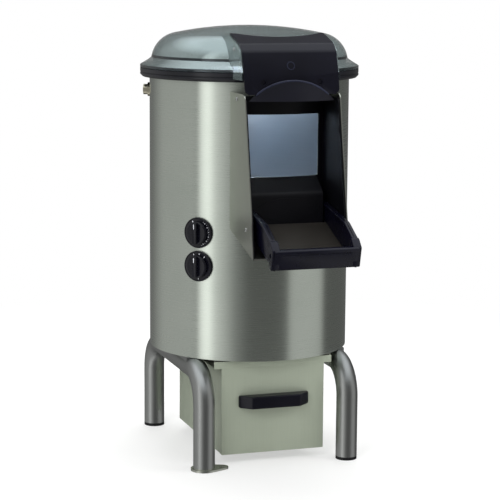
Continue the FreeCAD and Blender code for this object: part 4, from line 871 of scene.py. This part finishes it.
def buildDrawerFront():
    half, foot, top, ear = front["half"], front["foot"], front["top"], front["ear"]
    step, corner = front["earFoot"], front["corner"]
    right = [(half, foot, corner), (half, step), (ear, step, corner), (ear, top, corner)]
    sheet = pushed("drawerFrontSheet", roundedOutline(mirrored(right), 4), "XZ", *front["face"])
    soften(sheet, 0.6, 3, 50)
    hems = []
    inner, hemTop = half - front["hem"], front["earFoot"] - 0.5
    for hand in (-1, 1):
        a, b = inner * hand, half * hand
        line = [(a, foot + 1), (b, foot + 1), (b, hemTop), (a, hemTop)]
        hem = pushed("drawerReturn", line, "XZ", front["face"][1] - 0.5, front["hemBack"])
        hems.append(soften(hem, 0.3))
    whole = joined([sheet] + hems, "drawerFront")
    smooth(whole, 35)
    return finished(whole, "drawer", steelDrawer, "front_steel", "drawer_front")


# Screws

screw = {"radius": 4, "edge": 0.9, "crown": 2.6, "top": 2.0, "socket": 1.3, "socketFoot": 1.0}


def buildScrews(name, node, body, face, spots):
    # a screw at each reach and height, on the left and on the right
    r, top = screw["radius"], screw["top"]
    side = [(0, 0), (r, 0), (r, screw["edge"], 0.5), (screw["crown"], top, 0.8), (0, top)]
    section = roundedOutline(side, 4)
    heads = []
    for reach, height in spots:
        for hand in (-1, 1):
            head = spun("screwHead", section, 32)
            socket = circlePoints(screw["socket"], 6)
            carve(head, pushed("socket", socket, "XY", screw["socketFoot"], top + 1))
            out = Matrix.Rotation(math.radians(90 * hand), 4, "Y")
            place = Vector((face * hand * mm, -reach * mm, height * mm))
            head.data.transform(Matrix.Translation(place) @ out)
            heads.append(head)
    group = joined(heads, name)
    tidyNormals(group)
    smooth(group, 30)
    return finished(group, body, steelTurned, "machined_steel", node)


# Trim of the hood

emblem = {"inner": 6.6, "outer": 8, "half": 0.5, "height": 787}


def buildEmblem():
    # a plain raised ring on the hood's face
    inner, outer, half = emblem["inner"], emblem["outer"], emblem["half"]
    section = [(inner, -half), (outer, -half), (outer, half, 0.3), (inner, half, 0.3)]
    ring = spun("hoodRing", roundedOutline(section, 3), 48)
    (upperReach, upper), (lowerReach, lower) = hood["front"][3:5]
    lean = math.atan2(lowerReach - upperReach, upper - lower)
    turn = Matrix.Rotation(math.radians(90) - lean, 4, "X")
    reach = lowerReach - (emblem["height"] - lower) * (lowerReach - upperReach) / (upper - lower)
    ring.data.transform(Matrix.Translation(Vector((0, -reach * mm, emblem["height"] * mm))) @ turn)
    smooth(ring, 30)
    # the ring's lighter colour is a painted highlight
    return finished(ring, "lid", beadPaintedHighlight, "black_moulding")


def buildBead():
    # the rolled edge along the top of the half-moon grip
    radius, centre = gripRound()
    lean = math.radians(grip["lean"])
    startReach = grip["reach"] - grip["curve"] / math.cos(lean)
    start = math.asin((grip["foot"] + 1 - centre) / radius)
    points = []
    for i in range(49):
        turn = start + (math.pi - 2 * start) * i / 48
        inset = radius - grip["beadInset"]
        x, z = inset * math.cos(turn), centre + inset * math.sin(turn)
        out = (math.sqrt(grip["curve"] ** 2 - x * x) - (z - grip["end"]) * math.sin(lean)) / math.cos(lean)
        points.append((x, -(startReach + out) + grip["beadReach"], z))
    bead = wire("gripBead", points, grip["bead"])
    smooth(bead, 40)
    # the bead's lighter colour is a painted highlight
    return finished(bead, "lid", beadPaintedHighlight, "black_moulding")


buildDrum()
buildGasket()
buildLid()
buildHood()
buildEmblem()
buildBead()
buildScrews("hoodScrews", "hood_screws", "lid", lid["porchSide"], [(203, 816)])
print("drum and lid modelled")
buildTray()
buildScrews("cheekScrews", "cheek_screws", "stand", 95.6, [(216, 724), (277, 484)])
print("tray modelled")
# printed marks: the turn in degrees from straight up, and the length and width
timerMarks = [(-28, 5, 2.0)] + [(40 + 22 * k, 2.4, 1.0) for k in range(6)]
timerMarks += [(29 + 11 * k, 0.9, 0.6) for k in range(13)]
selectorMarks = [(-22, 3.2, 1.2), (8, 3.2, 1.2), (38, 3.2, 1.2), (176, 1.6, 0.9)]
buildDial("timerDial", "timer_dial", knobSet["timer"], timerMarks)
buildDial("selectorDial", "selector_dial", knobSet["selector"], selectorMarks)
buildKnob("timerKnob", "timer_knob", knobSet["timer"])
buildKnob("selectorKnob", "selector_knob", knobSet["selector"])
buildHandle()
buildDrawerFront()
print("knobs and drawer modelled")
